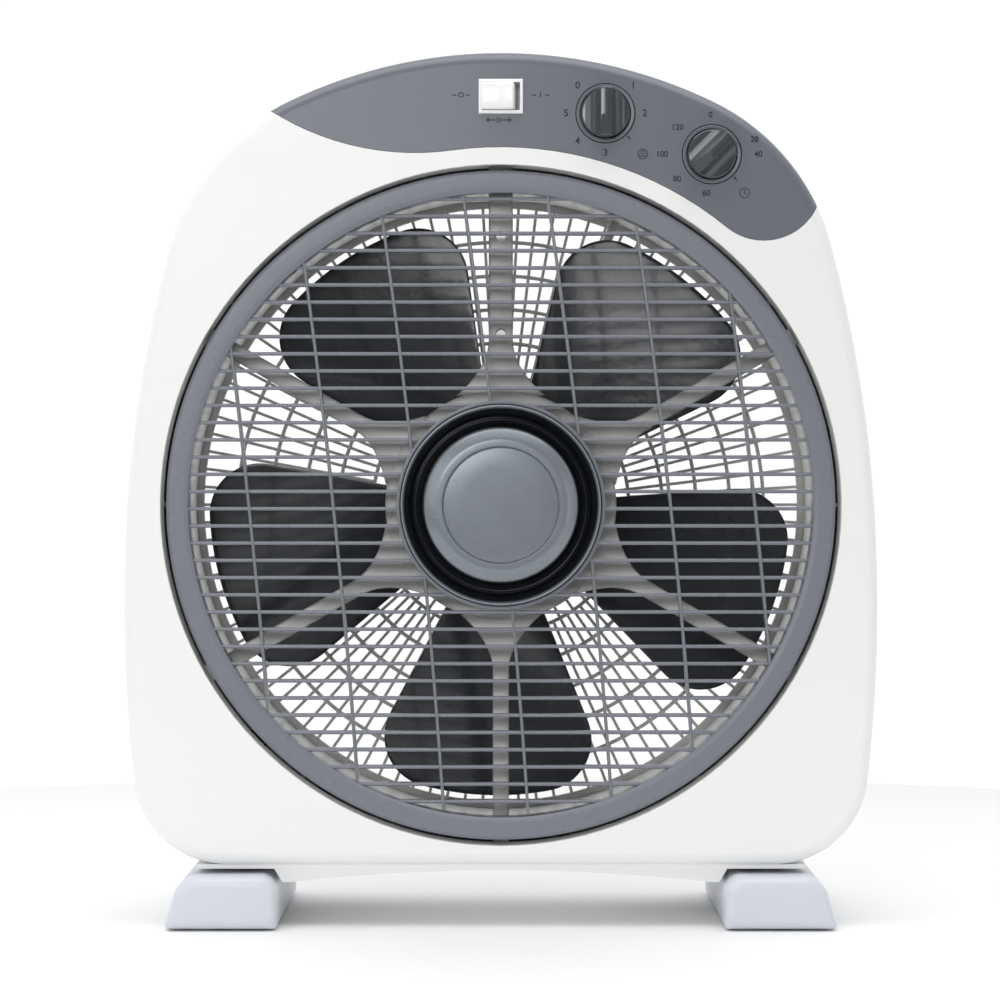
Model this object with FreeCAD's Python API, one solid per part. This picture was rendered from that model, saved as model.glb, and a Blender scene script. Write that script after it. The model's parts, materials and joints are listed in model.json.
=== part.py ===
import FreeCAD, Part
import math
import os

# Box fan with a rotating front louvre, in millimetres.
# The floor is z = 0, the fan faces -Y and +X is to the right as seen from the front.
# The origin is on the floor, under the middle of the feet.

V = FreeCAD.Vector
PAST = 1.0                      # how far a cutting shape reaches past the face that it cuts

# ---------------------------------------------------------------- driving dimensions
TOP_Z = 430.0                   # crown of the casing
HUB_Z = 207.5                   # axis of the fan and of the louvre
FRONT_Y = -62.0                 # front face of the casing
SEAM_Y = -22.0                  # where the two shells meet
REAR_Y = 64.0                   # rear face of the casing
WALL = 2.4                      # moulded wall
EDGE_R = 6.0                    # rounding of the front edge
REAR_EDGE_R = 9.0               # rounding of the rear edge
SEAM_SCALE = 0.992              # rear shell's outline at the seam, against the front shell
REAR_SCALE = 0.955              # and at its rear face

# Casing outline: arcs that follow on from each other, from the crown down the right side.
# Each is (radius, turn in degrees). The last one turns until the bottom edge is level.
OUTLINE_ARCS = [(240.3, 25.9), (108.5, 49.0), (665.7, 12.6), (774.6, 8.9)]
CORNER_R = 46.4

OPENING_R = 167.2               # round opening of the front shell
COLLAR_WALL = 2.2
COLLAR_END_Y = -44.0
SHROUD_R = 161.0                # air duct round the blades
SHROUD_WALL = 2.2
SHROUD_WEB_DEGS = [0, 37, 143, 180, 234, 270, 306]
SHROUD_WEB_REACH = 60.0         # the webs run out from the duct to the casing wall
SHROUD_WEB_THICK = 1.8
SHROUD_WEB_SET_BACK = 3.0

# Control panel
PANEL_CREST_R = 175.5           # lower edge, concentric with the opening
PANEL_LEFT_BOWL = (-42.0, 512.0)
PANEL_RIGHT_BOWL = (129.0, 366.0)
PANEL_LEFT_DEGS = (231, 250)    # left bowl: where its arc meets the outline, and its middle
PANEL_RIGHT_DEGS = (10, 290)
PANEL_REGION_HALF = 220.0
PANEL_GAP = 0.25
PANEL_CREST_MID_X = 24.0        # a point on the crest between the two bowls
SPEED_KNOB_AT = (51.3, 399.6)
TIMER_KNOB_AT = (103.5, 379.5)
ROCKER_AT = (0.0, 407.9)
WELL_R = 14.8
WELL_DEPTH = 3.5
WELL_FLOOR = 2.0
WELL_WALL = 1.6
KNOB_R = 12.0
KNOB_FRONT_Y = -73.0
KNOB_BACK_Y = -59.0
KNOB_GRIP = 5.4
KNOB_EDGE_R = 1.6
SCOOP_R = 9.5
KNOB_SHAFT_R = 3.0
KNOB_SHAFT_PLAY = 0.6
KNOB_SOCKET_AT = 6.0            # depth of the shaft socket's end behind the knob's front
SHAFT_IN_SWITCH = 3.0
TIMER_POINTER_DEG = 45.0        # the timer knob points to the upper right at rest
SWITCH_FRONT_Y = FRONT_Y + WELL_DEPTH + WELL_FLOOR
SWITCH_HALF = 14.0
SWITCH_DEPTH = 18.0
TIMER_CASE_R = 17.0
TIMER_DEPTH = 24.0
SPEED_TAG_PITCH = 5.0
TIMER_TAG_AT = 6.0
SWITCH_CORNER_R = 2.0
TIMER_CORNER_R = 1.5
TAG_THICK = 0.8                 # flat connection tags of the switches
TAG_LENGTH = 6.0
TAG_HALF = 2.4

# Rocker switch of the louvre motor
ROCKER_HALF_WIDTH = 8.2
ROCKER_HALF_HEIGHT = 6.6
ROCKER_PROUD = 3.4
ROCKER_PIVOT_Y = -57.0
ROCKER_TILT_DEG = 8.0
ROCKER_SHOULDER = 0.5           # the paddle's sides end this far behind the pivot
ROCKER_TAIL = 3.2
ROCKER_TAIL_HALF = 3.5
ROCKER_EDGE_R = 0.9
ROCKER_PIN_R = 1.2
ROCKER_PIN_REACH = 1.0
ROCKER_MOUTH_DEPTH = 10.5
ROCKER_TAG_AT = 4.0
ROCKER_MOUTH = (9.4, 6.9)       # half width and half height of the opening in the bezel
ROCKER_BODY = (10.1, 7.8)
ROCKER_BODY_PLAY = 0.1
ROCKER_BEZEL = (10.9, 8.5)
ROCKER_BEZEL_PROUD = 1.2
ROCKER_BODY_DEPTH = 24.0

# Rotating louvre
LOUVRE_FRONT_Y = -60.0
LOUVRE_RING_OUT = 164.4
LOUVRE_RING_IN = 153.5
LOUVRE_RING_BACK_Y = -47.0
LOUVRE_WALL = 1.8
LOUVRE_LIP_DEPTH = 8.0          # depth of the ring's outer wall
LOUVRE_EDGE = 0.8
LOUVRE_FACE = 2.0
LOUVRE_HUB_R = 51.5
LOUVRE_BOSS_R = 8.0
LOUVRE_BOSS_DEPTH = 7.0
LOUVRE_SCREW_LENGTH = 8.0
SLAT_PITCH = 8.47
SLAT_THICK = 1.9
SLAT_FRONT_Y = -57.5
SLAT_BACK_Y = -48.5
SLAT_OFFSET = -1.8
RIBS_EACH_SIDE = 3
RIB_PITCH = 41.5
RIB_SHIFT = -3.0
RIB_WIDTH = 1.5
RIB_DEPTH = 7.5
RIB_PROUD = 0.4
RIB_LEAN_DEG = 6.0
RIB_BOW = 3.5

# Hub cap
CAP_R = 49.2
CAP_RIM_Y = -62.5
CAP_FLOOR_Y = -51.5
CAP_FACE_Y = -67.5
PUCK_R = 37.8
CAP_DISC_R = 28.0
CAP_WALL = 1.8

# Front bracket and the motor that turns the louvre
BRACKET_FRONT_Y = -44.0
TAB_THICK = 3.0
TAB_WIDTH = 9.0
BRACKET_HUB_R = 57.5
BRACKET_HUB_BACK_Y = -28.0
SPOKE_WIDTH = 8.0
SPOKE_FRONT_Y = -42.0
SPOKE_DEPTH = 8.0
SPOKE_FLARE = 11.0
SPOKE_DEGS = [30, 150, 210, 270, 330]
SPOKE_END_R = 168.0
BRACKET_WALL = 2.4
BRACKET_FACE = 3.0
DUCT_DEG = 90
DUCT_WIDTH = 12.0
DUCT_DEPTH = 11.0
DUCT_TOP_R = 176.0
DUCT_WALL = 2.0
DUCT_HOLE_R = 2.6
DUCT_LID_THICK = 1.6
DUCT_PILLAR_R = 2.4
DUCT_SCREW_R = (85.0, 133.5)    # distances of the two duct screws above the hub
DUCT_SEAT = 2.5                 # thickness left under a duct screw's head
DUCT_SCREW_HEAD = 1.8
DUCT_SCREW_LENGTH = 4.0
SPOKE_ROOT_LAP = 3.5            # a spoke starts this far inside the cup's wall
SWING_MOTOR_R = 24.5
SWING_MOTOR_SET_BACK = 4.0
SWING_MOTOR_BACK_Y = -27.5
SWING_EAR_X = 29.0
SWING_EAR_THICK = 1.2
SWING_EAR_ROUND = 4.0
SWING_EAR_HALF = 4.5
SWING_SHAFT_R = 3.5
SWING_SHAFT_LENGTH = 15.8
SWING_SHAFT_TIP = 7.2
SWING_LEAD_R = 0.7
SWING_LEAD_X = 3.2
SWING_LEAD_TURN_R = 174.0       # the lead turns back at the top of the duct
SWING_LEAD_END_R = 186.0
LEAD_BEND_R = 10.0

# Blades
BLADE_COUNT = 5
BLADE_TIP_R = 148.5
BLADE_FIRST_DEG = 51.0
BLADE_HALF_SPAN_DEG = 25.0
BLADE_THICK = 1.8
BLADE_CORNER_R = 26.0
BLADE_ROOT_RISE = 15.0          # half the blade's depth at the hub
BLADE_TIP_RISE = 10.0           # and at the tip
BLADE_BOW = 0.18                # bow of a blade's section, as a share of its rise
BLADE_ROOT_R = 12.0             # the petal's straight sides start here, inside the hub
IMPELLER_HUB_R = 27.0
IMPELLER_FRONT_Y = -14.0
IMPELLER_BACK_Y = 18.0
IMPELLER_BOSS_R = 9.0
IMPELLER_WALL = 2.2
PIN_SLOT_HALF_LENGTH = 10.0
PIN_SLOT_HALF_WIDTH = 1.6
PIN_SLOT_DEPTH = 5.6
NUT_R = 12.0
NUT_LENGTH = 9.0
NUT_NOSE_R = 6.0
NUT_SHOULDER_R = 9.5
NUT_FACE = 3.0
NUT_GROOVES = 8
NUT_GROOVE_R = 1.8
PIN_R = 1.5
PIN_AT_Y = IMPELLER_BACK_Y - 3.9
PIN_HALF = 9.0
FIT = 0.02                      # radial gap of a push fit

# Main motor
MOTOR_FRONT_Y = 24.4
MOTOR_BACK_Y = 58.4
MOTOR_R = 42.5
SHAFT_R = 4.0
BEARING_R = 8.0
ROTOR_R = 22.0
AIR_GAP = 0.5
STATOR_R = 38.0
STATOR_SLOTS = 16
STATOR_SLOT_WIDTH = 3.6
STATOR_TIP = 2.0                # iron left between a slot and the bore
STATOR_YOKE = 5.0
WINDING_HALF = 5.4              # half the radial width of a ring of windings
WINDING_DEPTH = 5.3
ROTOR_OVERLAP = 0.4             # the rotor is longer than the stator by this at each end
ROTOR_RING_DEPTH = 2.0
ROTOR_RING_WIDTH = 5.0
CORE_INSET = 9.0                # the cores lie this far inside the bells' faces
MOTOR_SKIN = 1.8
MOTOR_EDGE_R = 4.0
MOTOR_SPLIT_Y = (MOTOR_FRONT_Y + MOTOR_BACK_Y) / 2
MOTOR_EAR_DEGS = [0, 90, 180, 270]
MOTOR_EAR_AT_R = 45.8
MOTOR_EAR_R = 4.2
MOTOR_EAR_THICK = 4.0
BEARING_END = 7.0
VENT_R = 2.6
MOTOR_SCREW_RADIUS = 30.0
MOTOR_SCREW_DEGS = [45, 135, 225, 315]
MOTOR_LEAD_DEG = 68.0
MOTOR_LEAD_Y = 53.0
MOTOR_LEAD_END_R = 19.0         # the lead ends this far outside the air duct
LEAD_R = 2.4
LEAD_PLAY = 0.6

# Rear grille
GRILLE_FRONT_Y = 58.4
GRILLE_THICK = 3.2
GRILLE_R = 166.0
GRILLE_PLATE_R = 50.0
GRILLE_RIBS = 104
GRILLE_RIB_WIDTH = 1.7
GRILLE_RING_WIDTH = 2.0
GRILLE_RINGS = 6
GRILLE_RIM = 9.0                # solid rim outside the ribs
GRILLE_LEDGE = 8.0              # the casing covers this much of the rim
GRILLE_PLAY = 0.3
GRILLE_SETBACK = 0.5            # the air duct ends this far in front of the grille

# Base and feet
PLINTH_HALF_WIDTH = 150.0
PLINTH_FRONT_Y = -56.5
PLINTH_BACK_Y = 56.0
PLINTH_FOOT_Z = 28.6
PLINTH_LIP_Z = 22.0
PLINTH_ARCH_Z = 27.8
PLINTH_STEP_X = 107.5
PLINTH_STEP_RUN = 4.0           # slope of the step between the lip and a foot's seat
FOOT_LENGTH = 150.0
FOOT_HEIGHT = 27.6
FOOT_INNER_X = 109.0
FOOT_OUTER_X = 164.5
FOOT_SOLE_Z = 0.8
# A foot's shoulders: start, middle and end of an arc, as (in from its side, down from its top)
FOOT_INNER_SHOULDER = [(1.0, 9.0), (4.0, 2.6), (10.0, 0.0)]
FOOT_OUTER_SHOULDER = [(2.0, 13.0), (6.6, 3.9), (17.0, 0.0)]
FOOT_END_R = 2.0
FOOT_SCREW_Y = 38.0
FOOT_SCREW_INWARD = 6.0
FOOT_SCREW_SEAT_Z = 18.0
PAD_R = 8.0
PAD_Y = 60.0
PAD_SEAT = 1.2

# Hand grip in the top of the rear shell
GRIP_HALF_WIDTH = 50.0
GRIP_LOW_Z = 379.0
GRIP_HIGH_Z = 401.0
GRIP_FRONT_Y = 34.0
GRIP_CORNER_R = 8.0

# Fasteners
SCREW_R = 1.5
SCREW_HEAD_R = 3.0
SCREW_HEAD = 2.2
SCREW_PLAY = 0.08
SCREW_WELL_PLAY = 0.5
SCREW_SLOT_HALF = 2.0
SCREW_SLOT_THICK = 0.7
SCREW_SLOT_DEPTH = 1.0
BOSS_R = 3.9
BOSS_SPLIT = 12.0               # the two shells' bosses meet this far behind the seam
REAR_BOSS_EXTRA = 1.6
SHELL_SCREW_SEAT = 18.0         # the shell screws' seats lie this far behind the seam
SHELL_SCREW_TIP = 8.0           # and their tips this far in front of it
SHELL_SCREWS = [(-140.0, 70.0), (140.0, 70.0), (-140.0, 330.0), (140.0, 330.0), (-80.0, 378.0)]
BRACKET_SCREW_R = 172.4
BRACKET_SCREW_DEGS = [30, 150, 210, 330]
GRILLE_SCREW_R = 162.6
GRILLE_SCREW_DEGS = [45, 135, 225, 315]

# Wiring
GROMMET_AT = (-128.0, 56.0)
GROMMET_BORE_R = 3.6
GROMMET_WALL = 2.4
GROMMET_FLANGE = 4.0
GROMMET_FLANGE_THICK = 3.0
CLAMP_ABOVE = 28.0
CLAMP_HALF_WIDTH = 11.0
CLAMP_THICK = 6.0
CLAMP_HALF_HEIGHT = 4.0
CAPACITOR_SIZE = (36.0, 18.0, 20.0)
CAPACITOR_AT = (-66.0, -18.0, 387.0)
TERMINAL_SIZE = (40.0, 16.0, 12.0)
TERMINAL_AT = (-24.0, 6.0, 382.0)
TERMINAL_PITCH = 10.0
TERMINAL_WAYS = 4
TERMINAL_WELL_R = 2.6
TERMINAL_WELL_DEPTH = 6.0
TERMINAL_SCREW_AT = 3.0
CAPACITOR_EDGE_R = 2.5


# ---------------------------------------------------------------- helpers
def box(x0, x1, y0, y1, z0, z1):
    return Part.makeBox(x1 - x0, y1 - y0, z1 - z0, V(x0, y0, z0))


def rod(radius, y0, y1, x=0.0, z=HUB_Z):
    """Cylinder along Y."""
    return Part.makeCylinder(radius, y1 - y0, V(x, y0, z), V(0, 1, 0))


def tube(outer, inner, y0, y1, x=0.0, z=HUB_Z):
    return rod(outer, y0, y1, x, z).cut(rod(inner, y0 - PAST, y1 + PAST, x, z))


def around_hub(radius, degrees):
    """x and z of a point at a distance and an angle from the hub axis."""
    angle = math.radians(degrees)
    return radius * math.cos(angle), HUB_Z + radius * math.sin(angle)


def join(shapes):
    return shapes[0].multiFuse(shapes[1:]).removeSplitter()


def group(shapes):
    return Part.makeCompound(shapes)


def turned(points, arcs=()):
    """Solid of revolution about the hub axis. Points are (radius, y); a number in arcs is
    the index of a point that is the middle of an arc between its neighbours."""
    places = [V(radius, y, HUB_Z) for radius, y in points]
    edges = []
    index = 0
    while index < len(places):
        after = places[(index + 1) % len(places)]
        if index + 1 in arcs:
            end = places[(index + 2) % len(places)]
            edges.append(Part.Arc(places[index], after, end).toShape())
            index += 2
        else:
            edges.append(Part.makeLine(places[index], after))
            index += 1
    face = Part.Face(Part.Wire(edges))
    return face.revolve(V(0, 0, HUB_Z), V(0, 1, 0), 360)


def prism(points, y0, y1):
    """Straight-sided outline in x and z, drawn out along Y."""
    loop = [V(x, y0, z) for x, z in points]
    wire = Part.makePolygon(loop + [loop[0]])
    return Part.Face(wire).extrude(V(0, y1 - y0, 0))


def edges_at(shape, y):
    return [edge for edge in shape.Edges
            if abs(edge.BoundBox.YMin - y) < 1e-4 and abs(edge.BoundBox.YMax - y) < 1e-4]


def screw(x, z, head_y, tip_y, head=SCREW_HEAD):
    """Pan-head screw along Y. Its head lies on the side away from the tip."""
    inward = 1 if tip_y > head_y else -1
    seat_y = head_y + inward * head
    shank = rod(SCREW_R, min(seat_y, tip_y), max(seat_y, tip_y), x, z)
    cap = rod(SCREW_HEAD_R, min(head_y, seat_y), max(head_y, seat_y), x, z)
    cap = cap.makeFillet(0.7, edges_at(cap, head_y))
    near, far = sorted((head_y, head_y + inward * SCREW_SLOT_DEPTH))
    long, half = SCREW_SLOT_HALF, SCREW_SLOT_THICK / 2
    slots = [box(x - across, x + across, near, far, z - up, z + up)
             for across, up in ((long, half), (half, long))]
    return cap.cut(slots).fuse(shank)


def pipe(points, radius, bend):
    """Round lead through the points, with an arc at each corner."""
    places = [V(*point) for point in points]
    edges = []
    start = places[0]
    for before, corner, after in zip(places, places[1:], places[2:]):
        back = (before - corner).normalize()
        ahead = (after - corner).normalize()
        half = back.getAngle(ahead) / 2
        reach = bend / math.tan(half)
        tangent_in = corner + back * reach
        tangent_out = corner + ahead * reach
        inner = (back + ahead).normalize()
        middle = corner + inner * (bend / math.sin(half) - bend)
        edges.append(Part.makeLine(start, tangent_in))
        edges.append(Part.Arc(tangent_in, middle, tangent_out).toShape())
        start = tangent_out
    edges.append(Part.makeLine(start, places[-1]))
    path = Part.Wire(edges)
    circle = Part.makeCircle(radius, places[0], places[1] - places[0])
    return path.makePipeShell([Part.Wire(circle)], True, True)


# ---------------------------------------------------------------- casing outline
def outline_arcs(scale, inset, top_z):
    """The right side's arcs as (start, middle, end), in x and z."""
    sweeps = [turn for radius, turn in OUTLINE_ARCS]
    radii = [radius for radius, turn in OUTLINE_ARCS] + [CORNER_R]
    sweeps.append(180.0 - sum(sweeps))
    arcs = []
    x, z, heading = 0.0, top_z, 0.0
    for radius, turn in zip(radii, sweeps):
        size = radius * scale - inset
        centre_x = x - size * math.sin(heading)
        centre_z = z - size * math.cos(heading)
        places = []
        for part in (0.0, 0.5, 1.0):
            angle = heading + math.radians(turn) * part
            places.append((centre_x + size * math.sin(angle), centre_z + size * math.cos(angle)))
        arcs.append(places)
        x, z = places[-1]
        heading += math.radians(turn)
    return arcs


BOTTOM_Z = outline_arcs(1.0, 0.0, TOP_Z)[-1][-1][1]


def outline(y, scale=1.0, inset=0.0):
    """Closed outline of the casing, standing on its level bottom edge."""
    top_z = BOTTOM_Z + (TOP_Z - BOTTOM_Z) * scale - inset
    right = outline_arcs(scale, inset, top_z)
    edges = [Part.Arc(*[V(x, y, z) for x, z in arc]).toShape() for arc in right]
    end_x, end_z = right[-1][-1]
    edges.append(Part.makeLine(V(end_x, y, end_z), V(-end_x, y, end_z)))
    for arc in reversed(right):
        edges.append(Part.Arc(*[V(-x, y, z) for x, z in reversed(arc)]).toShape())
    return Part.Wire(edges)


def outline_block(y0, y1, inset, edge_r):
    block = Part.Face(outline(y0, 1.0, inset)).extrude(V(0, y1 - y0, 0))
    return block.makeFillet(edge_r, edges_at(block, y0))


def tapered_block(y0, y1, inset, edge_r):
    """Rear casing form: it narrows towards the rear and stands on a level bottom."""
    slope = (REAR_SCALE - SEAM_SCALE) / (REAR_Y - SEAM_Y)
    wires = [outline(y, SEAM_SCALE + slope * (y - SEAM_Y), inset) for y in (y0, y1)]
    block = Part.makeLoft(wires, True, True)
    return block.makeFillet(edge_r, edges_at(block, y1))


# ---------------------------------------------------------------- front shell and panel
def front_skin():
    outer = outline_block(FRONT_Y, SEAM_Y, 0.0, EDGE_R)
    inner = outline_block(FRONT_Y + WALL, SEAM_Y + PAST, WALL, EDGE_R - WALL)
    return outer.cut(inner)


def panel_region(gap):
    """Everything above the panel's lower edge: two hollow bowls joined by a crest that is
    concentric with the opening."""
    hub = V(0, 0, HUB_Z)
    crest_r = PANEL_CREST_R + gap
    edges = []
    centres = [V(x, 0, z) for x, z in (PANEL_LEFT_BOWL, PANEL_RIGHT_BOWL)]
    bowls = [(centre - hub).Length - PANEL_CREST_R for centre in centres]
    joints = [hub + (centre - hub).normalize() * crest_r for centre in centres]
    y = FRONT_Y - PAST

    def on_bowl(index, degrees):
        angle = math.radians(degrees)
        reach = bowls[index] - gap
        return V(centres[index].x + reach * math.cos(angle), y, centres[index].z + reach * math.sin(angle))

    left_end = on_bowl(0, PANEL_LEFT_DEGS[0])
    right_end = on_bowl(1, PANEL_RIGHT_DEGS[0])
    points = [V(joint.x, y, joint.z) for joint in joints]
    mid_x = PANEL_CREST_MID_X
    crest_mid = V(mid_x, y, HUB_Z + math.sqrt(crest_r ** 2 - mid_x ** 2))
    edges.append(Part.Arc(left_end, on_bowl(0, PANEL_LEFT_DEGS[1]), points[0]).toShape())
    edges.append(Part.Arc(points[0], crest_mid, points[1]).toShape())
    edges.append(Part.Arc(points[1], on_bowl(1, PANEL_RIGHT_DEGS[1]), right_end).toShape())
    sky = TOP_Z + PAST
    side = PANEL_REGION_HALF
    corners = [right_end, V(side, y, right_end.z), V(side, y, sky), V(-side, y, sky),
               V(-side, y, left_end.z), left_end]
    edges += [Part.makeLine(a, b) for a, b in zip(corners, corners[1:])]
    return Part.Face(Part.Wire(edges)).extrude(V(0, SEAM_Y - FRONT_Y + 2 * PAST, 0))


def make_front_shell():
    shell = front_skin().cut(panel_region(0.0))
    extras = [tube(OPENING_R + COLLAR_WALL, OPENING_R, FRONT_Y + WALL, COLLAR_END_Y)]
    for degrees in BRACKET_SCREW_DEGS:
        x, z = around_hub(BRACKET_SCREW_R, degrees)
        extras.append(rod(BOSS_R, FRONT_Y + WALL, COLLAR_END_Y, x, z))
    for x, z in SHELL_SCREWS:
        extras.append(rod(BOSS_R, FRONT_Y + WALL, SEAM_Y + BOSS_SPLIT, x, z))
    shell = join([shell] + extras)
    holes = [rod(OPENING_R, FRONT_Y - PAST, COLLAR_END_Y + PAST)]
    for degrees in BRACKET_SCREW_DEGS:
        x, z = around_hub(BRACKET_SCREW_R, degrees)
        holes.append(rod(SCREW_R + SCREW_PLAY, FRONT_Y + 2 * WALL, COLLAR_END_Y + PAST, x, z))
    for x, z in SHELL_SCREWS:
        holes.append(rod(SCREW_R + SCREW_PLAY, SEAM_Y - BOSS_SPLIT, SEAM_Y + BOSS_SPLIT + PAST, x, z))
    return shell.cut(holes)


def make_control_panel():
    panel = front_skin().common(panel_region(PANEL_GAP))
    floor_y = FRONT_Y + WELL_DEPTH
    cups = []
    cuts = []
    for x, z in (SPEED_KNOB_AT, TIMER_KNOB_AT):
        cups.append(rod(WELL_R + WELL_WALL, FRONT_Y + WALL / 2, floor_y + WELL_FLOOR, x, z))
        cuts.append(rod(WELL_R, FRONT_Y - PAST, floor_y, x, z))
        cuts.append(rod(KNOB_SHAFT_R + KNOB_SHAFT_PLAY, floor_y - PAST, floor_y + WELL_FLOOR + PAST, x, z))
    x, z = ROCKER_AT
    half_width, half_height = (size + ROCKER_BODY_PLAY for size in ROCKER_BODY)
    cuts.append(box(x - half_width, x + half_width, FRONT_Y - PAST, FRONT_Y + WALL + PAST,
                    z - half_height, z + half_height))
    return join([panel] + cups).cut(cuts)


# ---------------------------------------------------------------- rear shell, grille, base
def make_rear_shell():
    outer = tapered_block(SEAM_Y, REAR_Y, 0.0, REAR_EDGE_R)
    inner = tapered_block(SEAM_Y - PAST, REAR_Y - WALL, WALL, REAR_EDGE_R - WALL)
    shell = outer.cut(inner)
    back = REAR_Y - WALL
    extras = [tube(SHROUD_R + SHROUD_WALL, SHROUD_R, SEAM_Y, GRILLE_FRONT_Y - GRILLE_SETBACK)]
    extras.append(box(-GRIP_HALF_WIDTH - WALL, GRIP_HALF_WIDTH + WALL, GRIP_FRONT_Y - WALL, back,
                      GRIP_LOW_Z - WALL, GRIP_HIGH_Z + WALL))
    for x, z in SHELL_SCREWS:
        extras.append(rod(BOSS_R + REAR_BOSS_EXTRA, SEAM_Y + BOSS_SPLIT, back, x, z))
    for degrees in SHROUD_WEB_DEGS:
        web = box(SHROUD_R + 1, SHROUD_R + SHROUD_WEB_REACH, SEAM_Y + SHROUD_WEB_SET_BACK, back,
                  HUB_Z - SHROUD_WEB_THICK / 2, HUB_Z + SHROUD_WEB_THICK / 2)
        web.rotate(V(0, 0, HUB_Z), V(0, -1, 0), degrees)
        extras.append(web.common(outer))
    shell = join([shell] + extras)
    grip = box(-GRIP_HALF_WIDTH, GRIP_HALF_WIDTH, GRIP_FRONT_Y, REAR_Y + PAST, GRIP_LOW_Z, GRIP_HIGH_Z)
    long_edges = [edge for edge in grip.Edges if edge.BoundBox.YLength > REAR_Y - GRIP_FRONT_Y]
    cuts = [grip.makeFillet(GRIP_CORNER_R, long_edges),
            rod(GRILLE_R - GRILLE_LEDGE, back - PAST, REAR_Y + PAST),
            rod(GRILLE_R + GRILLE_PLAY, GRILLE_FRONT_Y - 0.4, back)]
    for x, z in SHELL_SCREWS:
        cuts.append(rod(SCREW_HEAD_R + SCREW_WELL_PLAY, SEAM_Y + SHELL_SCREW_SEAT, REAR_Y + PAST, x, z))
        cuts.append(rod(SCREW_R + SCREW_PLAY, SEAM_Y + BOSS_SPLIT - PAST,
                        SEAM_Y + SHELL_SCREW_SEAT + PAST, x, z))
    for degrees in GRILLE_SCREW_DEGS:
        x, z = around_hub(GRILLE_SCREW_R, degrees)
        cuts.append(rod(SCREW_R + SCREW_PLAY, back - PAST, REAR_Y + PAST, x, z))
    lead_x, lead_z = around_hub(SHROUD_R, MOTOR_LEAD_DEG)
    lead_start = V(lead_x, MOTOR_LEAD_Y, lead_z) - lead_way() * 4
    cuts.append(Part.makeCylinder(LEAD_R + LEAD_PLAY, 12, lead_start, lead_way()))
    cuts.append(rod(GROMMET_BORE_R + GROMMET_WALL, back - PAST, REAR_Y + PAST, *GROMMET_AT))
    return shell.cut(cuts)


def lead_way():
    angle = math.radians(MOTOR_LEAD_DEG)
    return V(math.cos(angle), 0, math.sin(angle))


def make_rear_grille():
    """Flat disc with rows of windows between ribs, drawn as one face and thickened."""
    y = GRILLE_FRONT_Y
    rim_in = GRILLE_R - GRILLE_RIM
    pitch = 2 * math.pi / GRILLE_RIBS
    span = rim_in - GRILLE_PLATE_R
    row = span / GRILLE_RINGS
    wires = [Part.Wire(Part.makeCircle(GRILLE_R, V(0, y, HUB_Z), V(0, 1, 0)))]
    for ring in range(GRILLE_RINGS):
        low = GRILLE_PLATE_R + ring * row + (GRILLE_RING_WIDTH / 2 if ring else 0)
        high = GRILLE_PLATE_R + (ring + 1) * row - (GRILLE_RING_WIDTH / 2 if ring < GRILLE_RINGS - 1 else 0)
        # Near the plate every other rib stops short, so that the windows stay open.
        skip = 2 if ring == 0 else 1
        for rib in range(0, GRILLE_RIBS, skip):
            wires.append(window(y, low, high, rib * pitch, (rib + skip) * pitch))
    face = Part.makeFace(wires, "Part::FaceMakerBullseye")
    disc = face.extrude(V(0, GRILLE_THICK, 0))
    back = GRILLE_FRONT_Y + GRILLE_THICK
    holes = []
    for degrees in GRILLE_SCREW_DEGS:
        x, z = around_hub(GRILLE_SCREW_R, degrees)
        holes.append(rod(SCREW_R + SCREW_PLAY, GRILLE_FRONT_Y - PAST, back + PAST, x, z))
    for degrees in MOTOR_SCREW_DEGS:
        x, z = around_hub(MOTOR_SCREW_RADIUS, degrees)
        holes.append(rod(SCREW_R + SCREW_PLAY, GRILLE_FRONT_Y - PAST, back + PAST, x, z))
    return disc.cut(holes)


def window(y, low, high, start, end):
    """One window between two ribs and two rings, as a closed wire."""
    def corner(radius, angle, side):
        shift = side * math.asin(GRILLE_RIB_WIDTH / 2 / radius)
        return V(radius * math.cos(angle + shift), y, HUB_Z + radius * math.sin(angle + shift))

    def middle(radius):
        angle = (start + end) / 2
        return V(radius * math.cos(angle), y, HUB_Z + radius * math.sin(angle))

    a, b = corner(low, start, 1), corner(low, end, -1)
    c, d = corner(high, end, -1), corner(high, start, 1)
    edges = [Part.Arc(a, middle(low), b).toShape(), Part.makeLine(b, c),
             Part.Arc(c, middle(high), d).toShape(), Part.makeLine(d, a)]
    return Part.Wire(edges)


def make_base_plinth():
    """Tray under the casing, with a shallow arch between the feet."""
    half = PLINTH_HALF_WIDTH
    step = PLINTH_STEP_X
    y = PLINTH_FRONT_Y
    depth = PLINTH_BACK_Y - PLINTH_FRONT_Y
    lip = PLINTH_STEP_RUN
    corners = [(-step + lip, PLINTH_LIP_Z), (-step, PLINTH_LIP_Z), (-step - lip, PLINTH_FOOT_Z),
               (-half, PLINTH_FOOT_Z), (-half, BOTTOM_Z), (half, BOTTOM_Z), (half, PLINTH_FOOT_Z),
               (step + lip, PLINTH_FOOT_Z), (step, PLINTH_LIP_Z), (step - lip, PLINTH_LIP_Z)]
    places = [V(x, y, z) for x, z in corners]
    edges = [Part.makeLine(a, b) for a, b in zip(places, places[1:])]
    edges.append(Part.Arc(places[-1], V(0, y, PLINTH_ARCH_Z), places[0]).toShape())
    tray = Part.Face(Part.Wire(edges)).extrude(V(0, depth, 0))
    cuts = []
    for x, y in foot_screw_places():
        cuts.append(Part.makeCylinder(SCREW_R + SCREW_PLAY, 10, V(x, y, PLINTH_FOOT_Z - 1)))
    return tray.cut(cuts)


def foot_screw_places():
    middle = (FOOT_INNER_X + FOOT_OUTER_X) / 2 - FOOT_SCREW_INWARD
    return [(side * middle, y) for side in (-1, 1) for y in (-FOOT_SCREW_Y, FOOT_SCREW_Y)]


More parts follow.
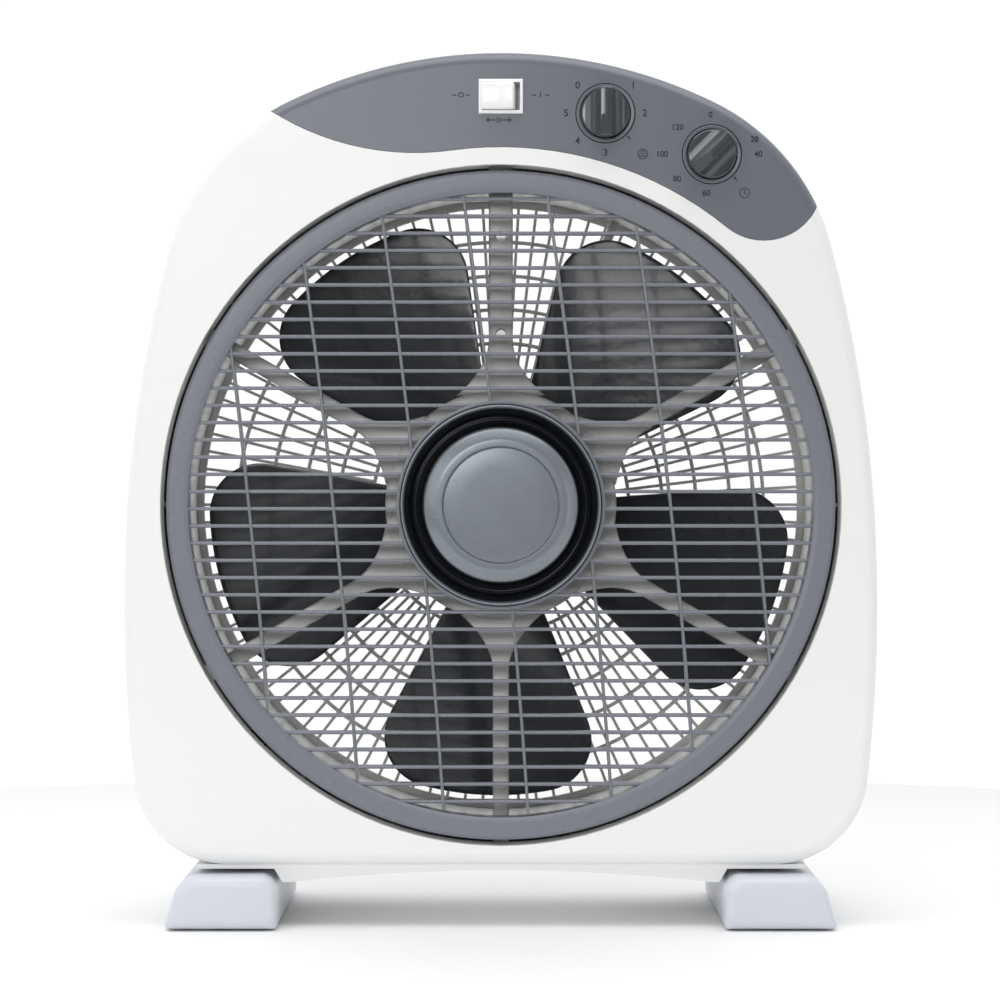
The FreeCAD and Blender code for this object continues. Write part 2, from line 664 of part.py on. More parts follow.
def make_foot(side):
    """Long bar foot with rounded shoulders. Its outer side leans out towards the floor."""
    low, high = FOOT_SOLE_Z, FOOT_HEIGHT
    y = -FOOT_LENGTH / 2
    inner = [V(side * (FOOT_INNER_X + across), y, high - down) for across, down in FOOT_INNER_SHOULDER]
    outer = [V(side * (FOOT_OUTER_X - across), y, high - down) for across, down in FOOT_OUTER_SHOULDER]
    inner_sole, outer_sole = V(side * FOOT_INNER_X, y, low), V(side * FOOT_OUTER_X, y, low)
    edges = [Part.makeLine(inner_sole, inner[0]), Part.Arc(*inner).toShape(),
             Part.makeLine(inner[2], outer[2]), Part.Arc(*reversed(outer)).toShape(),
             Part.makeLine(outer[0], outer_sole), Part.makeLine(outer_sole, inner_sole)]
    bar = Part.Face(Part.Wire(edges)).extrude(V(0, FOOT_LENGTH, 0))
    ends = [edge for edge in edges_at(bar, y) + edges_at(bar, y + FOOT_LENGTH)
            if edge.BoundBox.ZMax > low + 1]
    bar = bar.makeFillet(FOOT_END_R, ends)
    cuts = []
    well = FOOT_SCREW_SEAT_Z - low
    for x, screw_y in foot_screw_places():
        if x * side > 0:
            cuts.append(Part.makeCylinder(SCREW_HEAD_R + SCREW_WELL_PLAY, well, V(x, screw_y, low)))
            cuts.append(Part.makeCylinder(SCREW_R + SCREW_PLAY, high, V(x, screw_y, low)))
    for x, pad_y in foot_pad_places():
        if x * side > 0:
            cuts.append(Part.makeCylinder(PAD_R, PAD_SEAT, V(x, pad_y, low)))
    return bar.cut(cuts)


def foot_pad_places():
    middle = (FOOT_INNER_X + FOOT_OUTER_X) / 2
    return [(side * middle, y) for side in (-1, 1) for y in (-PAD_Y, PAD_Y)]


def make_foot_pads():
    return group([Part.makeCylinder(PAD_R, FOOT_SOLE_Z + PAD_SEAT, V(x, y, 0)) for x, y in foot_pad_places()])


def make_foot_screws():
    screws = []
    for x, y in foot_screw_places():
        head = Part.makeCylinder(SCREW_HEAD_R, SCREW_HEAD, V(x, y, FOOT_SCREW_SEAT_Z - SCREW_HEAD))
        shank = Part.makeCylinder(SCREW_R, BOTTOM_Z - 0.5 - FOOT_SCREW_SEAT_Z, V(x, y, FOOT_SCREW_SEAT_Z))
        screws.append(head.fuse(shank))
    return group(screws)


# ---------------------------------------------------------------- louvre and hub cap
def make_louvre():
    """Ring, hub and level slats, tied together behind by leaning ribs."""
    front, back, wall = LOUVRE_FRONT_Y, LOUVRE_RING_BACK_Y, LOUVRE_WALL
    inside, outside, edge = LOUVRE_RING_IN, LOUVRE_RING_OUT, LOUVRE_EDGE
    lip = front + LOUVRE_LIP_DEPTH
    ring = turned([(inside, back), (inside, front + 2), (inside + 0.6, front + 0.6), (inside + 2, front),
                   (outside - edge, front), (outside, front + edge), (outside, lip), (outside - wall, lip),
                   (outside - wall, front + LOUVRE_FACE), (inside + wall, front + LOUVRE_FACE),
                   (inside + wall, back)], arcs=(2,))
    hub_front, boss_back, bore = SLAT_FRONT_Y - 0.5, back - LOUVRE_BOSS_DEPTH, SWING_SHAFT_R + FIT
    hub = turned([(LOUVRE_HUB_R - wall, hub_front), (LOUVRE_HUB_R, hub_front), (LOUVRE_HUB_R, back),
                  (bore, back), (bore, boss_back), (LOUVRE_BOSS_R, boss_back),
                  (LOUVRE_BOSS_R, back - LOUVRE_FACE), (LOUVRE_HUB_R - wall, back - LOUVRE_FACE)])
    field = tube(inside + 1.0, LOUVRE_HUB_R - 1.0, SLAT_FRONT_Y - PAST, back + PAST)
    bars = []
    count = int(LOUVRE_RING_IN / SLAT_PITCH) + 1
    for step in range(-count, count + 1):
        z = HUB_Z + SLAT_OFFSET + step * SLAT_PITCH
        if abs(z - HUB_Z) < LOUVRE_RING_IN - 2:
            bars.append(box(-LOUVRE_RING_OUT, LOUVRE_RING_OUT, SLAT_FRONT_Y, SLAT_BACK_Y,
                            z - SLAT_THICK / 2, z + SLAT_THICK / 2))
    slats = group(bars).common(field)
    ribs = group([louvre_rib(index) for index in range(-RIBS_EACH_SIDE, RIBS_EACH_SIDE + 1)]).common(field)
    return join([ring, hub] + slats.Solids + ribs.Solids)


def louvre_rib(index):
    """Thin rib from top to bottom, through the slats, that leans and bows a little."""
    lean = math.tan(math.radians(RIB_LEAN_DEG))
    x = index * RIB_PITCH + RIB_SHIFT
    y = SLAT_FRONT_Y - RIB_PROUD
    reach = LOUVRE_RING_OUT

    def side(shift):
        return [V(x + shift - lean * reach, y, HUB_Z + reach), V(x + shift + RIB_BOW, y, HUB_Z),
                V(x + shift + lean * reach, y, HUB_Z - reach)]

    left, right = side(-RIB_WIDTH / 2), side(RIB_WIDTH / 2)
    edges = [Part.Arc(*left).toShape(), Part.makeLine(left[2], right[2]),
             Part.Arc(*reversed(right)).toShape(), Part.makeLine(right[0], left[0])]
    return Part.Face(Part.Wire(edges)).extrude(V(0, RIB_DEPTH, 0))


def make_hub_cap():
    """Dished rim with a raised round boss in the middle, moulded as one thin shell."""
    thick = CAP_WALL
    rim, floor, face = CAP_RIM_Y, CAP_FLOOR_Y, CAP_FACE_Y
    return turned([(CAP_R, floor + thick), (CAP_R, rim + 0.6), (CAP_R - 0.2, rim + 0.1), (CAP_R - 0.8, rim),
                   (CAP_R - 1.6, rim + 0.6), (PUCK_R + 4.5, floor), (PUCK_R + 1.0, floor),
                   (PUCK_R, face + 5.5),
                   (PUCK_R - 1.4, face + 2.4), (PUCK_R - 4.6, face + 0.9), (CAP_DISC_R + 0.15, face + 0.2),
                   (CAP_DISC_R + 0.15, face + 1.2), (0.0, face + 1.2), (0.0, face + 1.2 + thick),
                   (CAP_DISC_R + 2.0, face + 1.4 + thick), (PUCK_R - 4.6, face + 1.4 + thick),
                   (PUCK_R - thick, face + 5.5), (PUCK_R - thick, floor + thick)], arcs=(2, 8))


def make_cap_disc():
    """Round badge plate with no mark, set into the boss."""
    face = CAP_FACE_Y
    return turned([(0.0, face + 1.2), (0.0, face - 0.3), (CAP_DISC_R - 10, face - 0.15),
                   (CAP_DISC_R - 0.5, face + 0.1), (CAP_DISC_R, face + 0.5), (CAP_DISC_R, face + 1.2)])


def make_louvre_screw():
    head_y = LOUVRE_RING_BACK_Y - SWING_SHAFT_TIP - SCREW_HEAD - 0.1
    return screw(0.0, HUB_Z, head_y, head_y + LOUVRE_SCREW_LENGTH)


def make_swing_shaft():
    front = LOUVRE_RING_BACK_Y - SWING_SHAFT_TIP
    screw_end = front - SCREW_HEAD - 0.1 + LOUVRE_SCREW_LENGTH
    shaft = rod(SWING_SHAFT_R, front, front + SWING_SHAFT_LENGTH)
    return shaft.cut(rod(SCREW_R, front - PAST, screw_end + 0.1))


# ---------------------------------------------------------------- front bracket
def spoke_outline(width, flare, start, end):
    """Half outline of a spoke from the hub outward, wider at both ends."""
    half = width / 2
    return [(start, half + flare), (start + flare * 0.8, half), (end - flare, half),
            (end, half + flare * 0.7)]


def make_spoke(degrees, width, depth, end):
    upper = spoke_outline(width, SPOKE_FLARE, BRACKET_HUB_R - SPOKE_ROOT_LAP, end)
    points = upper + [(along, -across) for along, across in reversed(upper)]
    bar = prism([(along, HUB_Z + across) for along, across in points], SPOKE_FRONT_Y, SPOKE_FRONT_Y + depth)
    bar.rotate(V(0, 0, HUB_Z), V(0, -1, 0), degrees)
    return bar


def make_front_bracket():
    """Cup for the louvre motor on six spokes. The slanting four end in screw tabs, and the upper
    one is a duct for the lead."""
    tab_back = BRACKET_FRONT_Y + TAB_THICK
    cup_front = BRACKET_FRONT_Y + 1.0
    cup = rod(BRACKET_HUB_R, cup_front, BRACKET_HUB_BACK_Y)
    cup = cup.makeFillet(2.0, edges_at(cup, cup_front))
    pieces = [cup.cut(rod(BRACKET_HUB_R - BRACKET_WALL, cup_front + BRACKET_FACE, BRACKET_HUB_BACK_Y + PAST))]
    for degrees in SPOKE_DEGS:
        pieces.append(make_spoke(degrees, SPOKE_WIDTH, SPOKE_DEPTH, SPOKE_END_R))
    for degrees in BRACKET_SCREW_DEGS:
        x, z = around_hub(BRACKET_SCREW_R, degrees)
        pieces.append(rod(TAB_WIDTH / 2, BRACKET_FRONT_Y, tab_back, x, z))
        tab = box(SPOKE_END_R - 6, BRACKET_SCREW_R, BRACKET_FRONT_Y, tab_back,
                  HUB_Z - TAB_WIDTH / 2, HUB_Z + TAB_WIDTH / 2)
        tab.rotate(V(0, 0, HUB_Z), V(0, -1, 0), degrees)
        pieces.append(tab)
    pieces.append(make_spoke(DUCT_DEG, DUCT_WIDTH, DUCT_DEPTH, DUCT_TOP_R))
    bracket = join(pieces)
    channel = DUCT_WIDTH / 2 - DUCT_WALL
    cuts = [box(-channel, channel, SPOKE_FRONT_Y + DUCT_WALL, SPOKE_FRONT_Y + DUCT_DEPTH + 20,
                HUB_Z + BRACKET_HUB_R - 8, HUB_Z + DUCT_TOP_R + PAST)]
    cuts.append(rod(SWING_SHAFT_R + 3.0, BRACKET_FRONT_Y, BRACKET_FRONT_Y + 5))
    for reach in DUCT_SCREW_R:
        hole_end = SPOKE_FRONT_Y + DUCT_WALL + PAST
        cuts.append(rod(DUCT_HOLE_R, SPOKE_FRONT_Y - PAST, hole_end, 0, HUB_Z + reach))
    for degrees in BRACKET_SCREW_DEGS:
        x, z = around_hub(BRACKET_SCREW_R, degrees)
        cuts.append(rod(SCREW_R + SCREW_PLAY, BRACKET_FRONT_Y - PAST, tab_back + PAST, x, z))
    for side in (-1, 1):
        cuts.append(rod(SCREW_R + SCREW_PLAY, BRACKET_FRONT_Y, BRACKET_FRONT_Y + 5, side * SWING_EAR_X))
    return bracket.cut(cuts)


def make_duct_cover():
    """Lid along the rear of the wire duct, with two screw pillars."""
    back = SPOKE_FRONT_Y + DUCT_DEPTH
    lid = box(-DUCT_WIDTH / 2, DUCT_WIDTH / 2, back, back + DUCT_LID_THICK, HUB_Z + BRACKET_HUB_R + 0.5,
              HUB_Z + SPOKE_END_R - 12)
    pieces = [lid]
    cuts = []
    for reach in DUCT_SCREW_R:
        z = HUB_Z + reach
        pieces.append(rod(DUCT_PILLAR_R, SPOKE_FRONT_Y + DUCT_WALL + DUCT_SEAT + 0.1, back + 0.5, 0, z))
        cuts.append(rod(SCREW_R + SCREW_PLAY, SPOKE_FRONT_Y, back - PAST, 0, z))
    return join(pieces).cut(cuts)


def make_duct_screws():
    screws = []
    seat = SPOKE_FRONT_Y + DUCT_WALL + DUCT_SEAT
    for reach in DUCT_SCREW_R:
        z = HUB_Z + reach
        head = rod(DUCT_PILLAR_R, seat - DUCT_SCREW_HEAD, seat, 0, z)
        screws.append(head.fuse(rod(SCREW_R, seat, seat + DUCT_SCREW_LENGTH, 0, z)))
    return group(screws)


def make_swing_motor():
    """Small flat synchronous gear motor with two fixing ears."""
    front = BRACKET_FRONT_Y + SWING_MOTOR_SET_BACK
    can = rod(SWING_MOTOR_R, front, SWING_MOTOR_BACK_Y)
    can = can.makeFillet(1.2, edges_at(can, SWING_MOTOR_BACK_Y))
    reach = SWING_EAR_X + SWING_EAR_ROUND
    ears = box(-reach, reach, front, front + SWING_EAR_THICK, HUB_Z - SWING_EAR_HALF, HUB_Z + SWING_EAR_HALF)
    motor = join([can, ears])
    cuts = [rod(SWING_SHAFT_R + 0.05, front - PAST, front + 8)]
    for side in (-1, 1):
        cuts.append(rod(SCREW_R + SCREW_PLAY, front - PAST, front + 2, side * SWING_EAR_X))
    return motor.cut(cuts)


def make_swing_motor_screws():
    head_y = BRACKET_FRONT_Y + SWING_MOTOR_SET_BACK + SWING_EAR_THICK + SCREW_HEAD
    return group([screw(side * SWING_EAR_X, HUB_Z, head_y, BRACKET_FRONT_Y + 1.6) for side in (-1, 1)])


def make_bracket_screws():
    screws = []
    for degrees in BRACKET_SCREW_DEGS:
        x, z = around_hub(BRACKET_SCREW_R, degrees)
        screws.append(screw(x, z, BRACKET_FRONT_Y + TAB_THICK + SCREW_HEAD, BRACKET_FRONT_Y - 10))
    return group(screws)


def make_swing_lead():
    """Two-core lead of the louvre motor, up the duct to the top of the casing."""
    x = SWING_LEAD_X
    y = SPOKE_FRONT_Y + DUCT_WALL + 4.6
    points = [(x, y, HUB_Z + SWING_MOTOR_R + 0.5), (x, y, HUB_Z + SWING_LEAD_TURN_R),
              (x, y + 22, HUB_Z + SWING_LEAD_END_R)]
    return pipe(points, SWING_LEAD_R, LEAD_BEND_R)


# ---------------------------------------------------------------- impeller and main motor
def blade_section(reach, half_width, rise, middle_deg):
    """Closed thin section across a blade, in a plane at the given distance from the axis."""
    angle = math.radians(middle_deg)
    middle_y = (IMPELLER_FRONT_Y + IMPELLER_BACK_Y) / 2

    def place(across, y):
        x = reach * math.cos(angle) - across * math.sin(angle)
        z = reach * math.sin(angle) + across * math.cos(angle)
        return V(x, y, HUB_Z + z)

    bow = rise * BLADE_BOW
    front = [place(-half_width, middle_y - rise), place(0, middle_y - bow),
             place(half_width, middle_y + rise)]
    shift = V(0, BLADE_THICK, 0)
    back = [point + shift for point in front]
    edges = [Part.Arc(*front).toShape(), Part.makeLine(front[2], back[2]),
             Part.Arc(*reversed(back)).toShape(), Part.makeLine(back[0], front[0])]
    return Part.Wire(edges)


def make_blade(middle_deg):
    """Broad petal: a twisted sheet cut to a sector with rounded outer corners."""
    spread = math.tan(math.radians(BLADE_HALF_SPAN_DEG + 4.0))
    reaches = [IMPELLER_HUB_R - 3.0, BLADE_TIP_R + 2.0]
    rises = [BLADE_ROOT_RISE, BLADE_TIP_RISE]
    wires = [blade_section(reach, reach * spread, rise, middle_deg) for reach, rise in zip(reaches, rises)]
    sheet = Part.makeLoft(wires, True, True)

    def place(radius, shift_deg):
        x, z = around_hub(radius, middle_deg + shift_deg)
        return V(x, FRONT_Y, z)

    half_span = BLADE_HALF_SPAN_DEG
    root_left, root_right = place(BLADE_ROOT_R, -half_span), place(BLADE_ROOT_R, half_span)
    tip_left, tip_right = place(BLADE_TIP_R, -half_span), place(BLADE_TIP_R, half_span)
    edges = [Part.makeLine(root_left, tip_left),
             Part.Arc(tip_left, place(BLADE_TIP_R, 0), tip_right).toShape(),
             Part.makeLine(tip_right, root_right), Part.makeLine(root_right, root_left)]
    petal = Part.Face(Part.Wire(edges)).extrude(V(0, REAR_Y - FRONT_Y, 0))
    corners = []
    for edge in petal.Edges:
        middle = edge.BoundBox.Center
        at_tip = math.hypot(middle.x, middle.z - HUB_Z) > BLADE_TIP_R - 5
        if edge.BoundBox.YLength > REAR_Y and at_tip:
            corners.append(edge)
    return sheet.common(petal.makeFillet(BLADE_CORNER_R, corners))


def make_fan_blade():
    hub = turned([(IMPELLER_HUB_R - 3, IMPELLER_FRONT_Y), (IMPELLER_HUB_R, IMPELLER_FRONT_Y + 3),
                  (IMPELLER_HUB_R, IMPELLER_BACK_Y), (IMPELLER_HUB_R - IMPELLER_WALL, IMPELLER_BACK_Y),
                  (IMPELLER_HUB_R - IMPELLER_WALL, IMPELLER_FRONT_Y + 5),
                  (IMPELLER_BOSS_R, IMPELLER_FRONT_Y + 5),
                  (IMPELLER_BOSS_R, IMPELLER_BACK_Y - 2), (SHAFT_R + FIT, IMPELLER_BACK_Y - 2),
                  (SHAFT_R + FIT, IMPELLER_FRONT_Y)])
    blades = [make_blade(BLADE_FIRST_DEG + index * 360.0 / BLADE_COUNT) for index in range(BLADE_COUNT)]
    impeller = join([hub] + blades)
    slot = box(-PIN_SLOT_HALF_LENGTH, PIN_SLOT_HALF_LENGTH, IMPELLER_BACK_Y - PIN_SLOT_DEPTH,
               IMPELLER_BACK_Y + PAST, HUB_Z - PIN_SLOT_HALF_WIDTH, HUB_Z + PIN_SLOT_HALF_WIDTH)
    return impeller.cut(slot)


def make_spinner_nut():
    front, back = IMPELLER_FRONT_Y - NUT_LENGTH, IMPELLER_FRONT_Y
    bore = SHAFT_R + FIT
    nut = turned([(0.0, front), (NUT_NOSE_R, front), (NUT_SHOULDER_R, front + 2.0), (NUT_R, back - 2),
                  (NUT_R, back), (bore, back), (bore, front + NUT_FACE), (0.0, front + NUT_FACE)])
    grooves = []
    for step in range(NUT_GROOVES):
        x, z = around_hub(NUT_R + NUT_GROOVE_R / 3, step * 360.0 / NUT_GROOVES)
        grooves.append(rod(NUT_GROOVE_R, front - PAST, back - 2.5, x, z))
    return nut.cut(grooves)


def make_motor_shaft():
    shaft = rod(SHAFT_R, IMPELLER_FRONT_Y - 5.9, MOTOR_BACK_Y - 1.5)
    return shaft.cut(make_drive_pin())


def make_drive_pin():
    return Part.makeCylinder(PIN_R, 2 * PIN_HALF, V(-PIN_HALF, PIN_AT_Y, HUB_Z), V(1, 0, 0))


def make_motor_rotor():
    front = MOTOR_FRONT_Y + CORE_INSET - ROTOR_OVERLAP
    back = MOTOR_BACK_Y - CORE_INSET + ROTOR_OVERLAP
    core = tube(ROTOR_R, SHAFT_R, front, back)
    outer, inner = ROTOR_R - 2, ROTOR_R - 2 - ROTOR_RING_WIDTH
    depth = ROTOR_RING_DEPTH
    rings = [tube(outer, inner, start, start + depth) for start in (front - depth, back)]
    return join([core] + rings)


def make_stator_core():
    core = tube(STATOR_R, ROTOR_R + AIR_GAP, MOTOR_FRONT_Y + CORE_INSET, MOTOR_BACK_Y - CORE_INSET)
    slots = []
    for index in range(STATOR_SLOTS):
        slot = box(ROTOR_R + AIR_GAP + STATOR_TIP, STATOR_R - STATOR_YOKE, MOTOR_FRONT_Y, MOTOR_BACK_Y,
                   HUB_Z - STATOR_SLOT_WIDTH / 2, HUB_Z + STATOR_SLOT_WIDTH / 2)
        slot.rotate(V(0, 0, HUB_Z), V(0, 1, 0), index * 360.0 / STATOR_SLOTS)
        slots.append(slot)
    return core.cut(slots)


def make_stator_windings():
    mid_r = (ROTOR_R + STATOR_R) / 2
    half = WINDING_HALF
    ends = []
    inset, depth = CORE_INSET - 0.1, WINDING_DEPTH
    for y0, y1 in ((MOTOR_FRONT_Y + inset - depth, MOTOR_FRONT_Y + inset),
                   (MOTOR_BACK_Y - inset, MOTOR_BACK_Y - inset + depth)):
        ring = tube(mid_r + half, mid_r - half, y0, y1)
        ring = ring.makeFillet(2.0, edges_at(ring, y0) + edges_at(ring, y1))
        ends.append(ring)
    return group(ends)


def between(y0, y1, radius, x=0.0, z=HUB_Z):
    """Cylinder along Y between two depths, given in either order."""
    return rod(radius, min(y0, y1), max(y0, y1), x, z)


def make_motor_bell(face_y):
    """Cup-shaped end cover with a bearing seat, vents and four bolt ears."""
    inward = 1 if MOTOR_SPLIT_Y > face_y else -1
    cup = between(face_y, MOTOR_SPLIT_Y, MOTOR_R)
    cup = cup.makeFillet(MOTOR_EDGE_R, edges_at(cup, face_y))
    inside = face_y + inward * MOTOR_SKIN
    hollow = between(inside, MOTOR_SPLIT_Y + inward, MOTOR_R - MOTOR_SKIN)
    seat_end = face_y + inward * BEARING_END
    seat_r = BEARING_R + MOTOR_SKIN
    pieces = [cup.cut(hollow), between(face_y, seat_end, seat_r)]
    cuts = [between(face_y - inward, seat_end + inward, SHAFT_R + 0.6),
            between(inside, seat_end + inward, BEARING_R)]
    for degrees in MOTOR_EAR_DEGS:
        x, z = around_hub(MOTOR_EAR_AT_R, degrees)
        pieces.append(between(MOTOR_SPLIT_Y - inward * MOTOR_EAR_THICK, MOTOR_SPLIT_Y, MOTOR_EAR_R, x, z))
        cuts.append(between(face_y, MOTOR_SPLIT_Y + inward, SCREW_R + SCREW_PLAY, x, z))
    vents = [degrees for degrees in range(15, 360, 30) if degrees not in MOTOR_SCREW_DEGS]
    for degrees in vents:
        x, z = around_hub(MOTOR_SCREW_RADIUS, degrees)
        cuts.append(between(face_y - 3, face_y + 3, VENT_R, x, z))
    for degrees in MOTOR_SCREW_DEGS:
        x, z = around_hub(MOTOR_SCREW_RADIUS, degrees)
        cuts.append(between(face_y - 3, face_y + 3, SCREW_R + SCREW_PLAY, x, z))
    cuts.append(hollow.cut(between(face_y, MOTOR_SPLIT_Y, seat_r)))
    return join(pieces).cut(cuts)


def make_motor_bolts():
    bolts = []
    for degrees in MOTOR_EAR_DEGS:
        x, z = around_hub(MOTOR_EAR_AT_R, degrees)
        head_y = MOTOR_SPLIT_Y - MOTOR_EAR_THICK - SCREW_HEAD
        bolts.append(screw(x, z, head_y, MOTOR_SPLIT_Y + MOTOR_EAR_THICK + 1.0))
    return group(bolts)


def make_bearing(face_y):
    inward = 1 if MOTOR_SPLIT_Y > face_y else -1
    bush = between(face_y + inward * MOTOR_SKIN, face_y + inward * BEARING_END, BEARING_R)
    return bush.cut(between(face_y, face_y + inward * 2 * BEARING_END, SHAFT_R + 0.03))


def make_motor_screws():
    back = GRILLE_FRONT_Y + GRILLE_THICK
    screws = []
    for degrees in MOTOR_SCREW_DEGS:
        x, z = around_hub(MOTOR_SCREW_RADIUS, degrees)
        screws.append(screw(x, z, back + SCREW_HEAD, MOTOR_BACK_Y - 2.6))
    return group(screws)


def make_motor_lead():
    """Sleeved lead from the motor, behind the blades and up into the top of the casing."""
    def place(radius, y):
        x, z = around_hub(radius, MOTOR_LEAD_DEG)
        return (x, y, z)

    bend_r = SHROUD_R + MOTOR_LEAD_END_R
    route = [place(MOTOR_R + 0.2, MOTOR_LEAD_Y), place(bend_r, MOTOR_LEAD_Y),
             place(bend_r + 3, IMPELLER_BACK_Y)]
    return pipe(route, LEAD_R, LEAD_BEND_R)


def make_grille_screws():
    screws = []
    for degrees in GRILLE_SCREW_DEGS:
        x, z = around_hub(GRILLE_SCREW_R, degrees)
        screws.append(screw(x, z, REAR_Y + SCREW_HEAD, GRILLE_FRONT_Y - 0.3))
    return group(screws)


def make_shell_screws():
    head_y = SEAM_Y + SHELL_SCREW_SEAT + SCREW_HEAD
    return group([screw(x, z, head_y, SEAM_Y - SHELL_SCREW_TIP) for x, z in SHELL_SCREWS])


# ---------------------------------------------------------------- controls
def make_knob(place, pointer_deg):
    """Round knob with a raised flat-topped bar across it and a scoop on each side."""
    x, z = place
    body = rod(KNOB_R, KNOB_FRONT_Y, KNOB_BACK_Y, x, z)
    body = body.makeFillet(KNOB_EDGE_R, edges_at(body, KNOB_FRONT_Y))
    offset = KNOB_GRIP / 2 + SCOOP_R
    cuts = []
    for side in (-1, 1):
        scoop = Part.makeCylinder(SCOOP_R, 4 * KNOB_R, V(x + side * offset, KNOB_FRONT_Y, z - 2 * KNOB_R))
        cuts.append(scoop)
        near, far = sorted((x + side * offset, x + side * 2 * KNOB_R))
        cuts.append(box(near, far, KNOB_FRONT_Y - 2, KNOB_FRONT_Y + SCOOP_R, z - 2 * KNOB_R, z + 2 * KNOB_R))
    cuts.append(rod(KNOB_SHAFT_R + FIT, KNOB_FRONT_Y + KNOB_SOCKET_AT, KNOB_BACK_Y + PAST, x, z))
    knob = body.cut(cuts)
    knob.rotate(V(x, 0, z), V(0, 1, 0), 90.0 - pointer_deg)
    return knob


def make_knob_shaft(place):
    x, z = place
    return rod(KNOB_SHAFT_R, KNOB_FRONT_Y + KNOB_SOCKET_AT + 0.5, SWITCH_FRONT_Y + SHAFT_IN_SWITCH, x, z)


def tag(x, z, y):
    """Flat connection tag at the back of a switch."""
    return box(x, x + TAG_THICK, y - PAST, y + TAG_LENGTH, z - TAG_HALF, z + TAG_HALF)


def shaft_hole(x, z):
    return rod(KNOB_SHAFT_R + 0.05, SWITCH_FRONT_Y - PAST, SWITCH_FRONT_Y + SHAFT_IN_SWITCH + 0.2, x, z)


def make_speed_switch():
    """Rotary switch block with five tags at the back."""
    x, z = SPEED_KNOB_AT
    half = SWITCH_HALF
    back = SWITCH_FRONT_Y + SWITCH_DEPTH
    block = box(x - half, x + half, SWITCH_FRONT_Y, back, z - half, z + half)
    long_edges = [edge for edge in block.Edges if edge.BoundBox.YLength > SWITCH_DEPTH / 2]
    block = block.makeFillet(SWITCH_CORNER_R, long_edges)
    tags = [tag(x + step * SPEED_TAG_PITCH, z, back) for step in range(-2, 3)]
    return join([block] + tags).cut(shaft_hole(x, z))


def make_timer():
    """Clockwork timer in a round case, with its two tags."""
    x, z = TIMER_KNOB_AT
    back = SWITCH_FRONT_Y + TIMER_DEPTH
    case = rod(TIMER_CASE_R, SWITCH_FRONT_Y, back, x, z)
    case = case.makeFillet(TIMER_CORNER_R, edges_at(case, back))
    tags = [tag(x + side * TIMER_TAG_AT, z, back) for side in (-1, 1)]
    return join([case] + tags).cut(shaft_hole(x, z))


def make_rocker():
    """Paddle with two facets on a pivot pin. At rest its left half is pressed in."""
    x, z = ROCKER_AT
    half = ROCKER_HALF_WIDTH
    height = ROCKER_HALF_HEIGHT
    lift = half * math.tan(math.radians(ROCKER_TILT_DEG))
    face_y = FRONT_Y - ROCKER_PROUD
    shoulder_y, tail_y = ROCKER_PIVOT_Y + ROCKER_SHOULDER, ROCKER_PIVOT_Y + ROCKER_TAIL
    section = [(-half, face_y - lift), (0.0, face_y), (half, face_y - lift), (half, shoulder_y),
               (ROCKER_TAIL_HALF, tail_y), (-ROCKER_TAIL_HALF, tail_y), (-half, shoulder_y)]
    loop = [V(x + across, y, z - height) for across, y in section]
    paddle = Part.Face(Part.makePolygon(loop + [loop[0]])).extrude(V(0, 0, 2 * height))
    soft = [edge for edge in paddle.Edges
            if edge.BoundBox.YMax < face_y + 0.1 and abs(edge.BoundBox.XMax - x) > 0.1]
    paddle = paddle.makeFillet(ROCKER_EDGE_R, soft)
    reach = height + ROCKER_PIN_REACH
    paddle = paddle.fuse(Part.makeCylinder(ROCKER_PIN_R, 2 * reach, V(x, ROCKER_PIVOT_Y, z - reach)))
    paddle.rotate(V(x, ROCKER_PIVOT_Y, z), V(0, 0, -1), ROCKER_TILT_DEG)
    return paddle


def make_rocker_housing():
    """Bezel and switch body, open to the front, with the rocker's pivot holes."""
    x, z = ROCKER_AT

    def block(sizes, y0, y1):
        half_width, half_height = sizes
        return box(x - half_width, x + half_width, y0, y1, z - half_height, z + half_height)

    back = FRONT_Y + ROCKER_BODY_DEPTH
    bezel = block(ROCKER_BEZEL, FRONT_Y - ROCKER_BEZEL_PROUD, FRONT_Y)
    bezel = bezel.makeFillet(0.8, edges_at(bezel, FRONT_Y - ROCKER_BEZEL_PROUD))
    tags = [tag(x + side * ROCKER_TAG_AT, z, back) for side in (-1, 1)]
    body = join([bezel, block(ROCKER_BODY, FRONT_Y, back)] + tags)
    mouth = block(ROCKER_MOUTH, FRONT_Y - 2 * PAST, FRONT_Y + ROCKER_MOUTH_DEPTH)
    pivot = Part.makeCylinder(ROCKER_PIN_R + 0.05, 24, V(x, ROCKER_PIVOT_Y, z - 12))
    return body.cut([mouth, pivot])


def make_capacitor():
    can = Part.makeBox(*CAPACITOR_SIZE, V(*CAPACITOR_AT))
    long_edges = [edge for edge in can.Edges if edge.BoundBox.XLength > CAPACITOR_SIZE[0] / 2]
    return can.makeFillet(CAPACITOR_EDGE_R, long_edges)


def terminal_places():
    """x and z of each way of the terminal block."""
    x, _, z = TERMINAL_AT
    first = x + (TERMINAL_SIZE[0] - (TERMINAL_WAYS - 1) * TERMINAL_PITCH) / 2
    return [(first + step * TERMINAL_PITCH, z + TERMINAL_SIZE[2] / 2) for step in range(TERMINAL_WAYS)]


def make_terminal_block():
    """Row of screw terminals, open to the front."""
    front, back = TERMINAL_AT[1] - PAST, TERMINAL_AT[1] + TERMINAL_WELL_DEPTH
    body = Part.makeBox(*TERMINAL_SIZE, V(*TERMINAL_AT))
    return body.cut([rod(TERMINAL_WELL_R, front, back, x, z) for x, z in terminal_places()])


def make_terminal_screws():
    front = TERMINAL_AT[1] + TERMINAL_SCREW_AT
    back = TERMINAL_AT[1] + TERMINAL_WELL_DEPTH - 0.1
    return group([rod(TERMINAL_WELL_R - 0.2, front, back, x, z) for x, z in terminal_places()])


